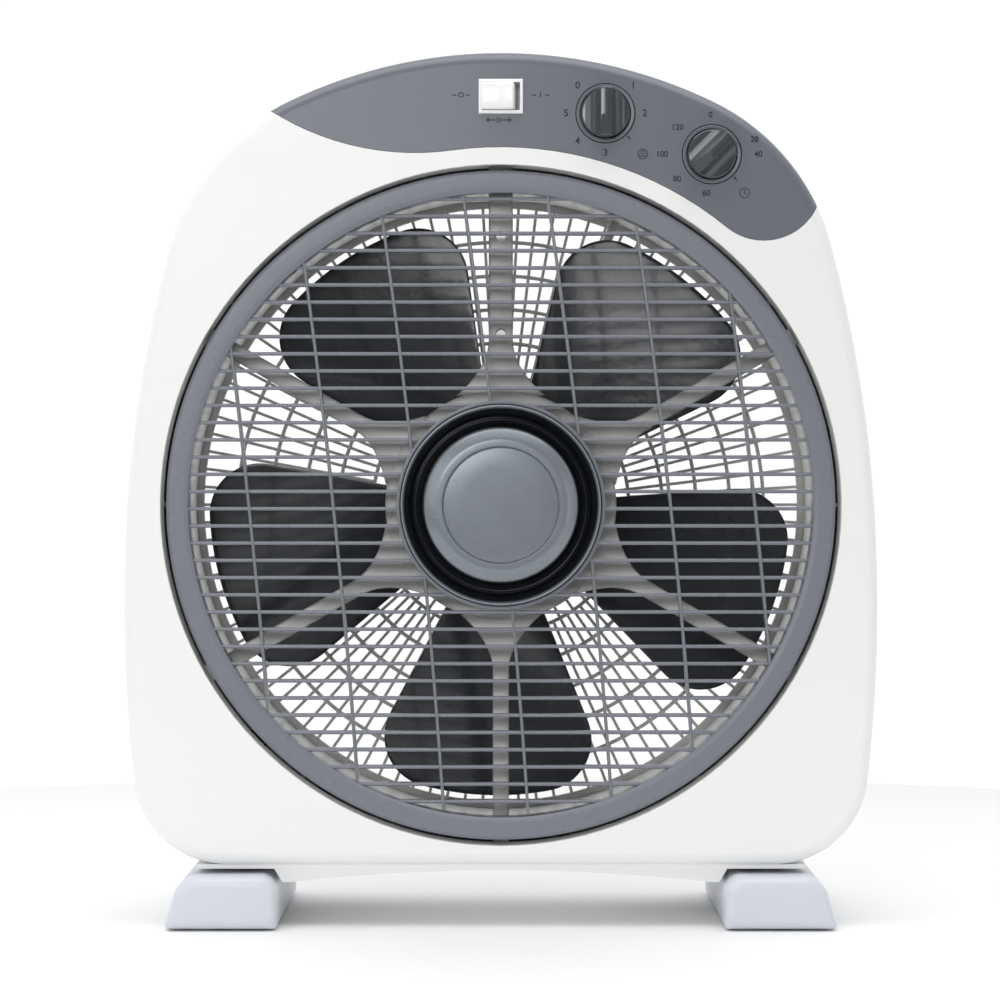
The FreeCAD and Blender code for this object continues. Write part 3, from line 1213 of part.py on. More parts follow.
def make_cord_grommet():
    """Inlet bush in the rear wall, with a flange on each side of it."""
    x, z = GROMMET_AT
    wall_in, wall_out = REAR_Y - WALL, REAR_Y
    flange_r = GROMMET_BORE_R + GROMMET_FLANGE
    body = join([rod(GROMMET_BORE_R + GROMMET_WALL, wall_in, wall_out, x, z),
                 rod(flange_r, wall_out, wall_out + GROMMET_FLANGE_THICK, x, z),
                 rod(flange_r, wall_in - GROMMET_FLANGE_THICK, wall_in, x, z)])
    return body.cut(rod(GROMMET_BORE_R, wall_in - 4, wall_out + 4, x, z))


def make_cord_clamp():
    """Bridge that grips the lead on the inside, above the inlet."""
    x, z = GROMMET_AT
    z += CLAMP_ABOVE
    back = REAR_Y - WALL
    half = CLAMP_HALF_WIDTH
    bridge = box(x - half, x + half, back - CLAMP_THICK, back,
                 z - CLAMP_HALF_HEIGHT, z + CLAMP_HALF_HEIGHT)
    return bridge.cut(Part.makeCylinder(GROMMET_BORE_R, 2 * (CLAMP_HALF_HEIGHT + PAST),
                                        V(x, back, z - CLAMP_HALF_HEIGHT - PAST)))


PARTS = {
    "front_shell": make_front_shell,
    "control_panel": make_control_panel,
    "rear_shell": make_rear_shell,
    "rear_grille": make_rear_grille,
    "base_plinth": make_base_plinth,
    "foot_left": lambda: make_foot(-1),
    "foot_right": lambda: make_foot(1),
    "foot_pads": make_foot_pads,
    "foot_screws": make_foot_screws,
    "louvre": make_louvre,
    "hub_cap": make_hub_cap,
    "cap_disc": make_cap_disc,
    "louvre_screw": make_louvre_screw,
    "swing_motor_shaft": make_swing_shaft,
    "front_bracket": make_front_bracket,
    "duct_cover": make_duct_cover,
    "duct_screws": make_duct_screws,
    "swing_motor": make_swing_motor,
    "swing_motor_screws": make_swing_motor_screws,
    "swing_motor_lead": make_swing_lead,
    "bracket_screws": make_bracket_screws,
    "fan_blade": make_fan_blade,
    "spinner_nut": make_spinner_nut,
    "motor_shaft": make_motor_shaft,
    "drive_pin": make_drive_pin,
    "motor_rotor": make_motor_rotor,
    "stator_core": make_stator_core,
    "stator_windings": make_stator_windings,
    "motor_front_bell": lambda: make_motor_bell(MOTOR_FRONT_Y),
    "motor_rear_bell": lambda: make_motor_bell(MOTOR_BACK_Y),
    "front_bearing": lambda: make_bearing(MOTOR_FRONT_Y),
    "rear_bearing": lambda: make_bearing(MOTOR_BACK_Y),
    "motor_bolts": make_motor_bolts,
    "motor_mount_screws": make_motor_screws,
    "motor_lead": make_motor_lead,
    "grille_screws": make_grille_screws,
    "shell_screws": make_shell_screws,
    "speed_knob": lambda: make_knob(SPEED_KNOB_AT, 90.0),
    "speed_knob_shaft": lambda: make_knob_shaft(SPEED_KNOB_AT),
    "speed_switch": make_speed_switch,
    "timer_knob": lambda: make_knob(TIMER_KNOB_AT, TIMER_POINTER_DEG),
    "timer_knob_shaft": lambda: make_knob_shaft(TIMER_KNOB_AT),
    "timer_mechanism": make_timer,
    "swing_rocker": make_rocker,
    "rocker_housing": make_rocker_housing,
    "capacitor": make_capacitor,
    "terminal_block": make_terminal_block,
    "terminal_screws": make_terminal_screws,
    "cord_grommet": make_cord_grommet,
    "cord_clamp": make_cord_clamp,
}

os.makedirs("parts", exist_ok=True)
for name, make in PARTS.items():
    shape = make()
    solids = len(shape.Solids)
    print(f"{name}: solids {solids}, volume {shape.Volume:.0f} mm3, valid {shape.isValid()}")
    shape.exportStep(f"parts/{name}.step")
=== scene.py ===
import json
import math

import bmesh
import bpy
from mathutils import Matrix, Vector


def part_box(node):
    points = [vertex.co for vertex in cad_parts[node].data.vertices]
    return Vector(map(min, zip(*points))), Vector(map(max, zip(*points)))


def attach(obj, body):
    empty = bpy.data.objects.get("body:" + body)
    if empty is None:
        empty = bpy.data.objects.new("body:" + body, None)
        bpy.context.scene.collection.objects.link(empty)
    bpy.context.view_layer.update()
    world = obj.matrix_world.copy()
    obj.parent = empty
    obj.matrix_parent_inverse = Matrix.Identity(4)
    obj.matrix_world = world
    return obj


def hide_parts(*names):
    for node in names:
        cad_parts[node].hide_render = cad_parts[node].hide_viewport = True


# Looks of the box fan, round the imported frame. Sizes are in millimetres and meshes in metres.
# The fan faces -Y. Angles go from +X towards +Z, as seen from the front.

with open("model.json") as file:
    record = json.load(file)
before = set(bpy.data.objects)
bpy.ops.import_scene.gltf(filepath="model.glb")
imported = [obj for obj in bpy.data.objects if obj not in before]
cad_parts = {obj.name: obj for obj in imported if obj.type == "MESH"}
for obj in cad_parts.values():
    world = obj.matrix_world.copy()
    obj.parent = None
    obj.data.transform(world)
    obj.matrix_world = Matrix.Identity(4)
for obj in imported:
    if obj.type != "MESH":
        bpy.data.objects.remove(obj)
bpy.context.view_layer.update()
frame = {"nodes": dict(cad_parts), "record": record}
MM = 0.001


def node_box(node):
    low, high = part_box(node)
    return low / MM, high / MM


def middle(node):
    low, high = node_box(node)
    return (low + high) / 2


HUB_Z = middle("motor_shaft").z

# ---------------------------------------------------------------- sizes
# Louvre
LOUVRE_FRONT, LOUVRE_BACK = node_box("louvre")[0].y, -47.0
LOUVRE_WALL = 1.8
RING_OUT = node_box("louvre")[1].x
RING_IN = 153.5
RING_LIP = 8.0                  # depth of the ring's outer wall
LOUVRE_HUB_R = 51.5
LOUVRE_BORE_R = 3.52
LOUVRE_BOSS_R = 8.0
LOUVRE_BOSS_DEPTH = 7.0
SLAT_PITCH = 8.47
SLAT_OFFSET = -1.8
SLAT_THICK = 1.9
SLAT_TAIL = 0.6                 # thickness of a slat's tail, as a share of its nose
SLAT_FRONT, SLAT_BACK = -57.5, -48.5
RIB_COUNT = 7
RIB_PITCH = 41.5
RIB_SHIFT = -3.0
RIB_WIDTH = 1.5
RIB_LEAN = math.tan(math.radians(6.0))
RIB_BOW = 3.5
RIB_FRONT, RIB_BACK = -57.9, -50.0
HUB_LAP = 0.6                   # slats and ribs run this far into the hub's wall
SLAT_LAP = 0.8                  # and this far into the ring
RIB_LAP = 1.0

# Hub cap
CAP_R = node_box("hub_cap")[1].x
CAP_FACE = node_box("hub_cap")[0].y
CAP_RIM = CAP_FACE + 5.0
CAP_FLOOR = CAP_FACE + 16.0
CAP_WALL = 1.8
PUCK_R = 37.8
BADGE_R = 28.0

# Bracket
BRACKET_FRONT = node_box("front_bracket")[0].y
BRACKET_BACK = -28.0
BRACKET_HUB_R = 57.5
BRACKET_WALL = 2.4
BRACKET_BORE_R = 6.5
BRACKET_SCREW_R = 172.4
BRACKET_SCREW_DEGS = (30, 150, 210, 330)
TAB_THICK = 3.0
TAB_WIDTH = 9.0
TAB_HOLE_R = 1.6
SPOKE_END_R = 168.0
SPOKE_DEGS = (30, 150, 210, 270, 330)
SPOKE_FRONT = -42.0
SPOKE_WIDTH, SPOKE_DEPTH = 8.0, 8.0
SPOKE_EDGE_R = 1.3
WEB_SPREAD, WEB_REACH = 16.0, 28.0
DUCT_DEG = 90
DUCT_WIDTH, DUCT_DEPTH = 12.0, 11.0
DUCT_END_R = 176.0
DUCT_HOLES = (85.0, 133.5)      # distances of the duct's holes above the hub
DUCT_HOLE_R = 2.6

# Impeller
BLADE_COUNT = 5
BLADE_FIRST_DEG = 51.0
BLADE_TIP_R = 148.5
BLADE_HALF_SPAN = math.radians(25.0)
BLADE_PITCH_SPAN = math.radians(29.0)
BLADE_CORNER_R = 26.0
BLADE_ROOT_RISE, BLADE_TIP_RISE = 15.0, 10.0
BLADE_BOW = 0.18
BLADE_THICK = 1.8
BLADE_EDGE_SHARE = 0.3          # thickness at a blade's edge, as a share of the middle's
BLADE_EDGE_RUN = 1.6
BLADE_ROWS, BLADE_ACROSS = 48, 32
IMPELLER_HUB_R = 27.0
IMPELLER_FRONT, IMPELLER_BACK = -14.0, 18.0
IMPELLER_WALL = 2.2
IMPELLER_BOSS_R = 9.0
IMPELLER_BORE_R = 4.02

# Rear guard
GUARD_FRONT, GUARD_BACK = node_box("rear_grille")[0].y, node_box("rear_grille")[1].y
GUARD_R = node_box("rear_grille")[1].x
GUARD_RIM = 9.0
GUARD_PLATE_R = 50.0
GUARD_PLATE_EDGE = 6.0
GUARD_PLATE_DIP = 0.8
GUARD_RIBS = 104
GUARD_RIB_WIDTH = 1.7
GUARD_RINGS = 6
GUARD_RING_HALF = 1
GUARD_EDGE_R = 0.7

# Controls
KNOB_R = 12.0
KNOB_RIM = 1.0                  # rounding of a knob's front edge
KNOB_GRIP = 5.4
KNOB_GRIP_EDGE = 0.45
KNOB_SCOOP = 9.5
KNOB_TAIL_START, KNOB_TAIL_SLOPE = 1.5, 0.07
KNOB_FRONT, KNOB_BACK = node_box("speed_knob")[0].y, node_box("speed_knob")[1].y
KNOB_RING_IN, KNOB_RING_OUT = 12.5, 14.3
KNOB_RING_DEPTH = 3.5
SPEED_POINTER_DEG, TIMER_POINTER_DEG = 90.0, 45.0
PANEL_FRONT = node_box("front_shell")[0].y
ROCKER_PIVOT = -57.0
ROCKER_TILT = math.radians(8.0)
ROCKER_HALF, ROCKER_HEIGHT = 8.2, 6.6
ROCKER_PROUD = 3.4
ROCKER_SHOULDER, ROCKER_TAIL, ROCKER_TAIL_HALF = 0.5, 3.2, 3.5
ROCKER_BEVEL = ((0.9, 0.0), (0.45, 0.12), (0.12, 0.45), (0.0, 0.9))

# Printing on the panel
PRINT_THICK = 0.06
PRINT_SUNK = 0.02
PRINT_BOLD = 0.08
MARK_REACH = 19.3
SPEED_MARKS = (("0", 135), ("1", 45), ("2", 0), ("3", 270), ("4", 225), ("5", 180))
SPEED_MARK_SIZE = 4.8
TIMER_MARKS = (("0", 92), ("20", 22), ("40", 0), ("60", 262), ("80", 219), ("100", 180), ("120", 137))
TIMER_MARK_SIZE = 4.0
TIMER_MARK_SPREAD = 0.09        # longer numbers stand a little further out at the sides
TICK_DEG = -46
TICK_IN, TICK_OUT, TICK_WIDTH = 15.4, 17.6, 0.7
ROCKER_MARK_SIZE = 3.6
ROCKER_MARK_X, ROCKER_MARK_RISE = 19.5, 0.6
DASH = 2.2
LINE, THIN_LINE = 0.5, 0.4
ICON_R = 2.4

# Feet
FOOT_EDGE = 5.0                 # rounding of a foot's front and back ends
FOOT_SOLE_EDGE = 2.0
FOOT_TOP_DROP = 1.2
FOOT_END_STEPS = 8

# Looks and studio
SHARP_DEG = 38
CAD_SHARP_DEG = 32
KNOB_SHARP_DEG = 50
FLOOR_R = 0.75
FLOOR_STEPS = 96
CAMERA_PLACE = (-0.0004, -1.545, 0.210)
CAMERA_LENS = 108.9
ROOM_DIM, ROOM_BRIGHT = 0.25, 1.05
ROOM_FADE = (-0.6, 0.25)


# ---------------------------------------------------------------- mesh helpers
class Shell:
    """Vertices in millimetres and faces of one mesh, added to piece by piece."""

    def __init__(self):
        self.verts = []
        self.faces = []

    def skin(self, rows, around=True, loop=False, caps=False):
        """Quads between rows of points. around closes each row, loop joins the last row to the first."""
        base = len(self.verts)
        count = len(rows[0])
        for row in rows:
            self.verts += [Vector(point) for point in row]
        pairs = len(rows) if loop else len(rows) - 1
        for r in range(pairs):
            here = base + r * count
            there = base + ((r + 1) % len(rows)) * count
            for c in range(count if around else count - 1):
                after = (c + 1) % count
                self.faces.append((here + c, here + after, there + after, there + c))
        if caps:
            self.faces.append(tuple(base + c for c in reversed(range(count))))
            last = base + (len(rows) - 1) * count
            self.faces.append(tuple(last + c for c in range(count)))
        return self

    def lathe(self, profile, centre=(0.0, HUB_Z), steps=192, loop=True):
        """Turns a profile of (radius, y) about an axis along Y."""
        rows = []
        for radius, y in profile:
            row = []
            for step in range(steps):
                angle = 2 * math.pi * step / steps
                row.append((centre[0] + radius * math.cos(angle), y, centre[1] + radius * math.sin(angle)))
            rows.append(row)
        return self.skin(rows, loop=loop, caps=not loop)


def rounded(corners, closed=True, steps=5):
    """Corners (a, b, radius) to a line of points, with an arc at each rounded corner."""
    points = []
    count = len(corners)
    for index, (a, b, radius) in enumerate(corners):
        at_end = not closed and index in (0, count - 1)
        if radius <= 0 or at_end:
            points.append((a, b))
            continue
        corner = Vector((a, b))
        before = Vector(corners[index - 1][:2]) - corner
        after = Vector(corners[(index + 1) % count][:2]) - corner
        before.normalize()
        after.normalize()
        half = before.angle(after) / 2
        if half > math.radians(88):
            points.append((a, b))
            continue
        centre = corner + (before + after).normalized() * (radius / math.sin(half))
        first = corner + before * (radius / math.tan(half)) - centre
        last = corner + after * (radius / math.tan(half)) - centre
        turn = first.angle_signed(last)
        for step in range(steps + 1):
            angle = -turn * step / steps
            x = first.x * math.cos(angle) - first.y * math.sin(angle)
            y = first.x * math.sin(angle) + first.y * math.cos(angle)
            points.append((centre.x + x, centre.y + y))
    return points


def soft_box(width, front, back, radius, steps=3):
    """Section of a bar: (across, y) with rounded corners."""
    half = width / 2
    corners = [(-half, front, radius), (half, front, radius), (half, back, radius), (-half, back, radius)]
    return rounded(corners, steps=steps)


def polar(radius, angle, y):
    return (radius * math.cos(angle), y, HUB_Z + radius * math.sin(angle))


def spoke_row(radius, angle, section):
    """Points of a bar's section, at a distance from the hub axis along a direction."""
    row = []
    for across, y in section:
        x = radius * math.cos(angle) - across * math.sin(angle)
        z = radius * math.sin(angle) + across * math.cos(angle)
        row.append((x, y, HUB_Z + z))
    return row


def piece(name, shell, body, material, replaces=(), sharp_deg=SHARP_DEG):
    mesh = bpy.data.meshes.new(name)
    mesh.from_pydata([v * MM for v in shell.verts], [], shell.faces)
    mesh.validate()
    obj = bpy.data.objects.new(name, mesh)
    bpy.context.scene.collection.objects.link(obj)
    finish_mesh(obj, material, sharp_deg)
    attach(obj, body)
    if replaces:
        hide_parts(*replaces)
    return obj


def finish_mesh(obj, material, sharp_deg):
    grid = bmesh.new()
    grid.from_mesh(obj.data)
    bmesh.ops.remove_doubles(grid, verts=grid.verts, dist=1e-6)
    bmesh.ops.recalc_face_normals(grid, faces=grid.faces)
    grid.to_mesh(obj.data)
    grid.free()
    smooth(obj, sharp_deg)
    obj.data.materials.clear()
    obj.data.materials.append(material)


def smooth(obj, sharp_deg):
    mesh = obj.data
    mesh.shade_smooth()
    mesh.set_sharp_from_angle(angle=math.radians(sharp_deg))


def cut(obj, cutter):
    """Takes the cutter's volume out of a piece."""
    change = obj.modifiers.new("cut", "BOOLEAN")
    change.object = cutter
    change.solver = "EXACT"
    graph = bpy.context.evaluated_depsgraph_get()
    mesh = bpy.data.meshes.new_from_object(obj.evaluated_get(graph))
    obj.modifiers.clear()
    obj.data = mesh
    bpy.data.objects.remove(cutter)
    smooth(obj, SHARP_DEG)


# ---------------------------------------------------------------- materials
def plastic(name, colour, rough, grain=2500.0, depth=0.02, tone=0.03, metal=0.0, coat=0.0, spread=0.05):
    """Moulded or lacquered surface: fine grain in the bump, slow drift in tone and gloss."""
    material = bpy.data.materials.new(name)
    material.use_nodes = True
    nodes, links = material.node_tree.nodes, material.node_tree.links
    shader = nodes["Principled BSDF"]
    shader.inputs["Metallic"].default_value = metal
    shader.inputs["Coat Weight"].default_value = coat
    shader.inputs["Coat Roughness"].default_value = 0.12
    where = nodes.new("ShaderNodeTexCoord")

    def noise(scale, detail):
        node = nodes.new("ShaderNodeTexNoise")
        node.inputs["Scale"].default_value = scale
        node.inputs["Detail"].default_value = detail
        links.new(where.outputs["Object"], node.inputs["Vector"])
        return node

    drift = noise(9.0, 3.0)
    ramp = nodes.new("ShaderNodeMix")
    ramp.data_type = "RGBA"
    light = [min(1.0, c * (1 + tone)) for c in colour]
    dark = [c * (1 - tone) for c in colour]
    ramp.inputs["A"].default_value = (*dark, 1)
    ramp.inputs["B"].default_value = (*light, 1)
    links.new(drift.outputs["Fac"], ramp.inputs["Factor"])
    links.new(ramp.outputs["Result"], shader.inputs["Base Color"])
    gloss = nodes.new("ShaderNodeMapRange")
    gloss.inputs["To Min"].default_value = max(0.02, rough - spread)
    gloss.inputs["To Max"].default_value = rough + spread
    links.new(noise(60.0, 4.0).outputs["Fac"], gloss.inputs["Value"])
    links.new(gloss.outputs["Result"], shader.inputs["Roughness"])
    bump = nodes.new("ShaderNodeBump")
    bump.inputs["Strength"].default_value = 0.6
    bump.inputs["Distance"].default_value = depth * MM
    links.new(noise(grain, 2.0).outputs["Fac"], bump.inputs["Height"])
    links.new(bump.outputs["Normal"], shader.inputs["Normal"])
    return material


SHELL_WHITE = plastic("shell_white", (0.855, 0.86, 0.85), 0.36, tone=0.008)
PANEL_GREY = plastic("panel_grey", (0.130, 0.142, 0.165), 0.38, tone=0.03, coat=0.15)
LOUVRE_GREY = plastic("louvre_grey", (0.185, 0.195, 0.225), 0.28, tone=0.03)
CAP_GREY = plastic("cap_grey", (0.21, 0.235, 0.26), 0.27, grain=4000, depth=0.008, tone=0.03, metal=0.35)
BRACKET_GREY = plastic("bracket_grey", (0.74, 0.74, 0.71), 0.32, tone=0.02)
BLADE_SMOKE = plastic("blade_smoke", (0.036, 0.040, 0.050), 0.26, grain=110, depth=0.5, tone=0.2, coat=0.4)
GUARD_WHITE = plastic("guard_white", (0.84, 0.84, 0.82), 0.38, tone=0.01)
FOOT_GREY = plastic("foot_grey", (0.63, 0.655, 0.71), 0.36, tone=0.01)
# Painted shade: the hub cap's dish is the cap's own grey lacquer, coloured near-black here to stand in for
# the shade and dark reflections in its recess
DISH_PAINTED_SHADE = plastic("dish_painted_shade", (0.006, 0.007, 0.010), 0.22, grain=4000, depth=0.004, tone=0.05, coat=0.1)
KNOB_GREY = plastic("knob_grey", (0.060, 0.066, 0.078), 0.17, grain=4000, depth=0.004, tone=0.05, metal=0.35,
                    coat=0.5)
ROCKER_WHITE = plastic("rocker_white", (0.88, 0.88, 0.885), 0.2, depth=0.004, tone=0.006)
BLACK_PLASTIC = plastic("black_plastic", (0.014, 0.014, 0.016), 0.45)
SCREW_STEEL = plastic("screw_steel", (0.55, 0.55, 0.56), 0.3, grain=900, metal=1.0)
MOTOR_STEEL = plastic("motor_steel", (0.42, 0.43, 0.44), 0.38, grain=700, metal=0.9)
CORE_STEEL = plastic("core_steel", (0.2, 0.2, 0.21), 0.45, grain=1500, depth=0.05, metal=0.9)
COPPER_WIRE = plastic("copper_wire", (0.45, 0.17, 0.06), 0.3, grain=900, depth=0.1, metal=0.9)
BRONZE = plastic("bearing_bronze", (0.42, 0.27, 0.11), 0.38, grain=1800, metal=0.9)
PAD_RUBBER = plastic("pad_rubber", (0.02, 0.02, 0.02), 0.75, grain=1600, depth=0.06)
LEAD_SLEEVE = plastic("lead_sleeve", (0.68, 0.68, 0.66), 0.4)
PRINT_DARK = plastic("print_dark", (0.012, 0.013, 0.016), 0.5, depth=0.002)

SLOT_MATERIALS = {
    "shell_white": SHELL_WHITE, "panel_grey": PANEL_GREY, "louvre_grey": LOUVRE_GREY, "cap_grey": CAP_GREY,
    "bracket_grey": BRACKET_GREY, "blade_smoke": BLADE_SMOKE, "guard_white": GUARD_WHITE,
    "foot_grey": FOOT_GREY, "knob_grey": KNOB_GREY, "rocker_white": ROCKER_WHITE,
    "black_plastic": BLACK_PLASTIC, "screw_steel": SCREW_STEEL, "motor_steel": MOTOR_STEEL,
    "core_steel": CORE_STEEL, "copper_wire": COPPER_WIRE, "bearing_bronze": BRONZE,
    "pad_rubber": PAD_RUBBER, "lead_sleeve": LEAD_SLEEVE,
}

for part in frame["record"]["subparts"]:
    node = frame["nodes"][part["node"]]
    node.data.materials.clear()
    node.data.materials.append(SLOT_MATERIALS[part["material_slot"]])
    smooth(node, CAD_SHARP_DEG)


# ---------------------------------------------------------------- louvre
def build_louvre():
    """Ring, hub, level slats and leaning ribs. Profiles are (radius, y, rounding)."""
    front, back, wall = LOUVRE_FRONT, LOUVRE_BACK, LOUVRE_WALL
    face_back = front + 2.2
    ring = Shell()
    ring.lathe(rounded([(RING_IN, back, 0.3), (RING_IN, front + 1.6, 1.2), (RING_IN + 2.2, front + 0.3, 1.0),
                        (RING_OUT - 1.6, front, 0.8), (RING_OUT, front + 1.0, 0.6),
                        (RING_OUT, front + RING_LIP, 0.4), (RING_OUT - wall, front + RING_LIP, 0.4),
                        (RING_OUT - wall, face_back, 0.5), (RING_IN + wall, face_back, 0.5),
                        (RING_IN + wall, back, 0.3)]), steps=288)
    piece("louvre_ring", ring, "louvre_assembly", LOUVRE_GREY, ("louvre",))
    hub = Shell()
    hub_front, boss_back = SLAT_FRONT - 0.5, back - LOUVRE_BOSS_DEPTH
    hub.lathe(rounded([(LOUVRE_HUB_R - wall, hub_front, 0.4), (LOUVRE_HUB_R, hub_front, 0.6),
                       (LOUVRE_HUB_R, back, 0.5), (LOUVRE_BORE_R, back, 0), (LOUVRE_BORE_R, boss_back, 0.3),
                       (LOUVRE_BOSS_R, boss_back, 0.4), (LOUVRE_BOSS_R, back - 2, 0.5),
                       (LOUVRE_HUB_R - wall, back - 2, 0.8)]))
    piece("louvre_hub", hub, "louvre_assembly", LOUVRE_GREY)
    slats = Shell()
    steps = int(RING_IN / SLAT_PITCH) + 1
    for step in range(-steps, steps + 1):
        rise = SLAT_OFFSET + step * SLAT_PITCH
        if abs(rise) < RING_IN - 2:
            for x0, x1 in slat_spans(rise):
                slats.skin([slat_section(x0, rise), slat_section(x1, rise)], caps=True)
    piece("louvre_slats", slats, "louvre_assembly", LOUVRE_GREY)
    ribs = Shell()
    section = soft_box(RIB_WIDTH, RIB_FRONT, RIB_BACK, 0.6)
    for index in range(RIB_COUNT):
        for run in rib_runs((index - RIB_COUNT // 2) * RIB_PITCH + RIB_SHIFT):
            rows = [[(x + across, y, HUB_Z + rise) for across, y in section] for x, rise in run]
            ribs.skin(rows, caps=True)
    piece("louvre_ribs", ribs, "louvre_assembly", LOUVRE_GREY)


def slat_spans(rise):
    """Where a slat runs in x: right across, or from the ring to the hub on each side."""
    outer = math.sqrt((RING_IN + SLAT_LAP) ** 2 - rise ** 2)
    hub_r = LOUVRE_HUB_R - HUB_LAP
    if abs(rise) >= hub_r:
        return [(-outer, outer)]
    inner = math.sqrt(hub_r ** 2 - rise ** 2)
    return [(-outer, -inner), (inner, outer)]


def slat_section(x, rise):
    """Slat with a round nose at the front and a thinner tail."""
    half = SLAT_THICK / 2
    corners = [(SLAT_FRONT, -half, 0.9), (SLAT_FRONT, half, 0.9), (SLAT_BACK, half * SLAT_TAIL, 0.4),
               (SLAT_BACK, -half * SLAT_TAIL, 0.4)]
    return [(x, y, HUB_Z + rise + up) for y, up in rounded(corners)]


def rib_runs(start):
    """The stretches of one leaning, bowed rib that lie between the hub and the ring."""
    runs, run = [], []
    count = 160
    for step in range(count + 1):
        rise = RING_OUT * (1 - 2 * step / count)
        x = start - RIB_LEAN * rise + RIB_BOW * (1 - (rise / RING_OUT) ** 2)
        if LOUVRE_HUB_R - HUB_LAP < math.hypot(x, rise) < RING_IN + RIB_LAP:
            run.append((x, rise))
        elif run:
            runs.append(run)
            run = []
    return [run for run in runs if len(run) > 1]


# ---------------------------------------------------------------- hub cap
def build_hub_cap():
    """Rim, dish coloured near-black as painted shade, raised boss and badge plate. Profiles are (radius, y,
    rounding).
    """
    rim, floor, face = CAP_RIM, CAP_FLOOR, CAP_FACE
    back, boss_in = floor + CAP_WALL, PUCK_R - CAP_WALL
    edge = Shell()
    edge.lathe(rounded([(CAP_R, back, 0.3), (CAP_R, rim, 0.45), (CAP_R - 0.9, rim, 0.4),
                        (CAP_R - 1.5, rim + 1.8, 0.4), (CAP_R - 1.5, back, 0.3)]), steps=256)
    piece("hub_cap_rim", edge, "louvre_assembly", CAP_GREY, ("hub_cap",))
    # The dish gets the near-black painted-shade colour, not the cap's grey
    dish = Shell()
    dish.lathe(rounded([(CAP_R - 1.4, back, 0), (CAP_R - 1.4, rim + 1.6, 0.2),
                        (CAP_R - 5.4, floor - 2.4, 3.0), (CAP_R - 6.2, floor - 2.0, 0.5),
                        (CAP_R - 6.6, floor - 4.6, 0.5), (PUCK_R + 1.6, floor - 2.0, 0.6),
                        (PUCK_R + 1.2, floor, 0.4), (PUCK_R - 1.0, floor, 0),
                        (PUCK_R - 1.0, back, 0)]), steps=256)
    piece("hub_cap_dish", dish, "louvre_assembly", DISH_PAINTED_SHADE)
    puck = Shell()
    puck.lathe(rounded([(PUCK_R, back, 0), (PUCK_R, face + 2.8, 2.2), (PUCK_R - 5.5, face + 0.25, 5.0),
                        (BADGE_R + 0.9, face + 0.1, 0.25), (BADGE_R + 0.3, face + 0.9, 0.15),
                        (BADGE_R - 1.5, face + 0.9, 0), (BADGE_R - 1.5, face + 3.2, 0),
                        (PUCK_R - 4.6, face + 3.2, 1.0), (boss_in, face + 5.5, 1.0), (boss_in, back, 0)]),
               steps=256)
    piece("hub_cap_boss", puck, "louvre_assembly", CAP_GREY)
    badge = Shell()
    plate = rounded([(0.01, face - 0.3, 0), (BADGE_R - 10, face - 0.2, 0),
                     (BADGE_R - 0.1, face + 0.05, 0.4), (BADGE_R, face + 2.0, 0),
                     (0.01, face + 2.0, 0)], closed=False)
    badge.lathe(plate, steps=256, loop=False)
    piece("hub_cap_badge", badge, "louvre_assembly", CAP_GREY, ("cap_disc",))


# ---------------------------------------------------------------- bracket
def ease(value):
    """Falls from 1 to 0 as the value goes from 0 to 1, ever more gently."""
    return max(0.0, 1.0 - value) ** 2


def build_bracket():
    """Cup on spokes. The four slanting spokes end in flat screw tabs."""
    bracket = Shell()
    tab_back = BRACKET_FRONT + TAB_THICK
    face = BRACKET_FRONT + 1.0
    face_back = face + 3
    inner_r = BRACKET_HUB_R - BRACKET_WALL
    bracket.lathe(rounded([(BRACKET_BORE_R, face, 0.5), (BRACKET_HUB_R, face, 2.4),
                           (BRACKET_HUB_R, BRACKET_BACK, 0.6), (inner_r, BRACKET_BACK, 0.6),
                           (inner_r, face_back, 1.0), (BRACKET_BORE_R, face_back, 0.4)]))
    tab_r = TAB_WIDTH / 2
    for degrees in BRACKET_SCREW_DEGS:
        angle = math.radians(degrees)
        boss = polar(BRACKET_SCREW_R, angle, 0)
        bracket.lathe(rounded([(TAB_HOLE_R, BRACKET_FRONT, 0.2), (tab_r, BRACKET_FRONT, 0.5),
                               (tab_r, tab_back, 0.5), (TAB_HOLE_R, tab_back, 0.2)]),
                      centre=(boss[0], boss[2]), steps=48)
        section = soft_box(TAB_WIDTH, BRACKET_FRONT, tab_back, 0.6)
        ends = (SPOKE_END_R - 6.0, BRACKET_SCREW_R - 3.5)
        bracket.skin([spoke_row(radius, angle, section) for radius in ends], caps=True)
    for degrees in SPOKE_DEGS:
        add_spoke(bracket, math.radians(degrees), SPOKE_WIDTH, SPOKE_DEPTH, SPOKE_END_R)
    piece("bracket_body", bracket, "casing", BRACKET_GREY, ("front_bracket",))
    duct = Shell()
    add_spoke(duct, math.radians(DUCT_DEG), DUCT_WIDTH, DUCT_DEPTH, DUCT_END_R)
    duct = piece("bracket_duct", duct, "casing", BRACKET_GREY)
    start, end = SPOKE_FRONT - 2, SPOKE_FRONT + 5
    for reach in DUCT_HOLES:
        drill = Shell()
        drill.lathe([(0.01, start), (DUCT_HOLE_R, start), (DUCT_HOLE_R, end), (0.01, end)],
                    centre=(0.0, HUB_Z + reach), steps=40, loop=False)
        cutter = piece(f"drill_{reach:.0f}", drill, "casing", BRACKET_GREY)
        cut(duct, cutter)


def add_spoke(shell, angle, width, depth, end):
    """Bar from the hub outward, with a curved web where it meets the cup."""
    start = BRACKET_HUB_R - 3.0
    rows = []
    count = 40
    for step in range(count + 1):
        radius = start + (end - start) * step / count
        spread = WEB_SPREAD * ease((radius - start) / WEB_REACH)
        section = soft_box(width + 2 * spread, SPOKE_FRONT, SPOKE_FRONT + depth, SPOKE_EDGE_R)
        rows.append(spoke_row(radius, angle, section))
    shell.skin(rows, caps=True)


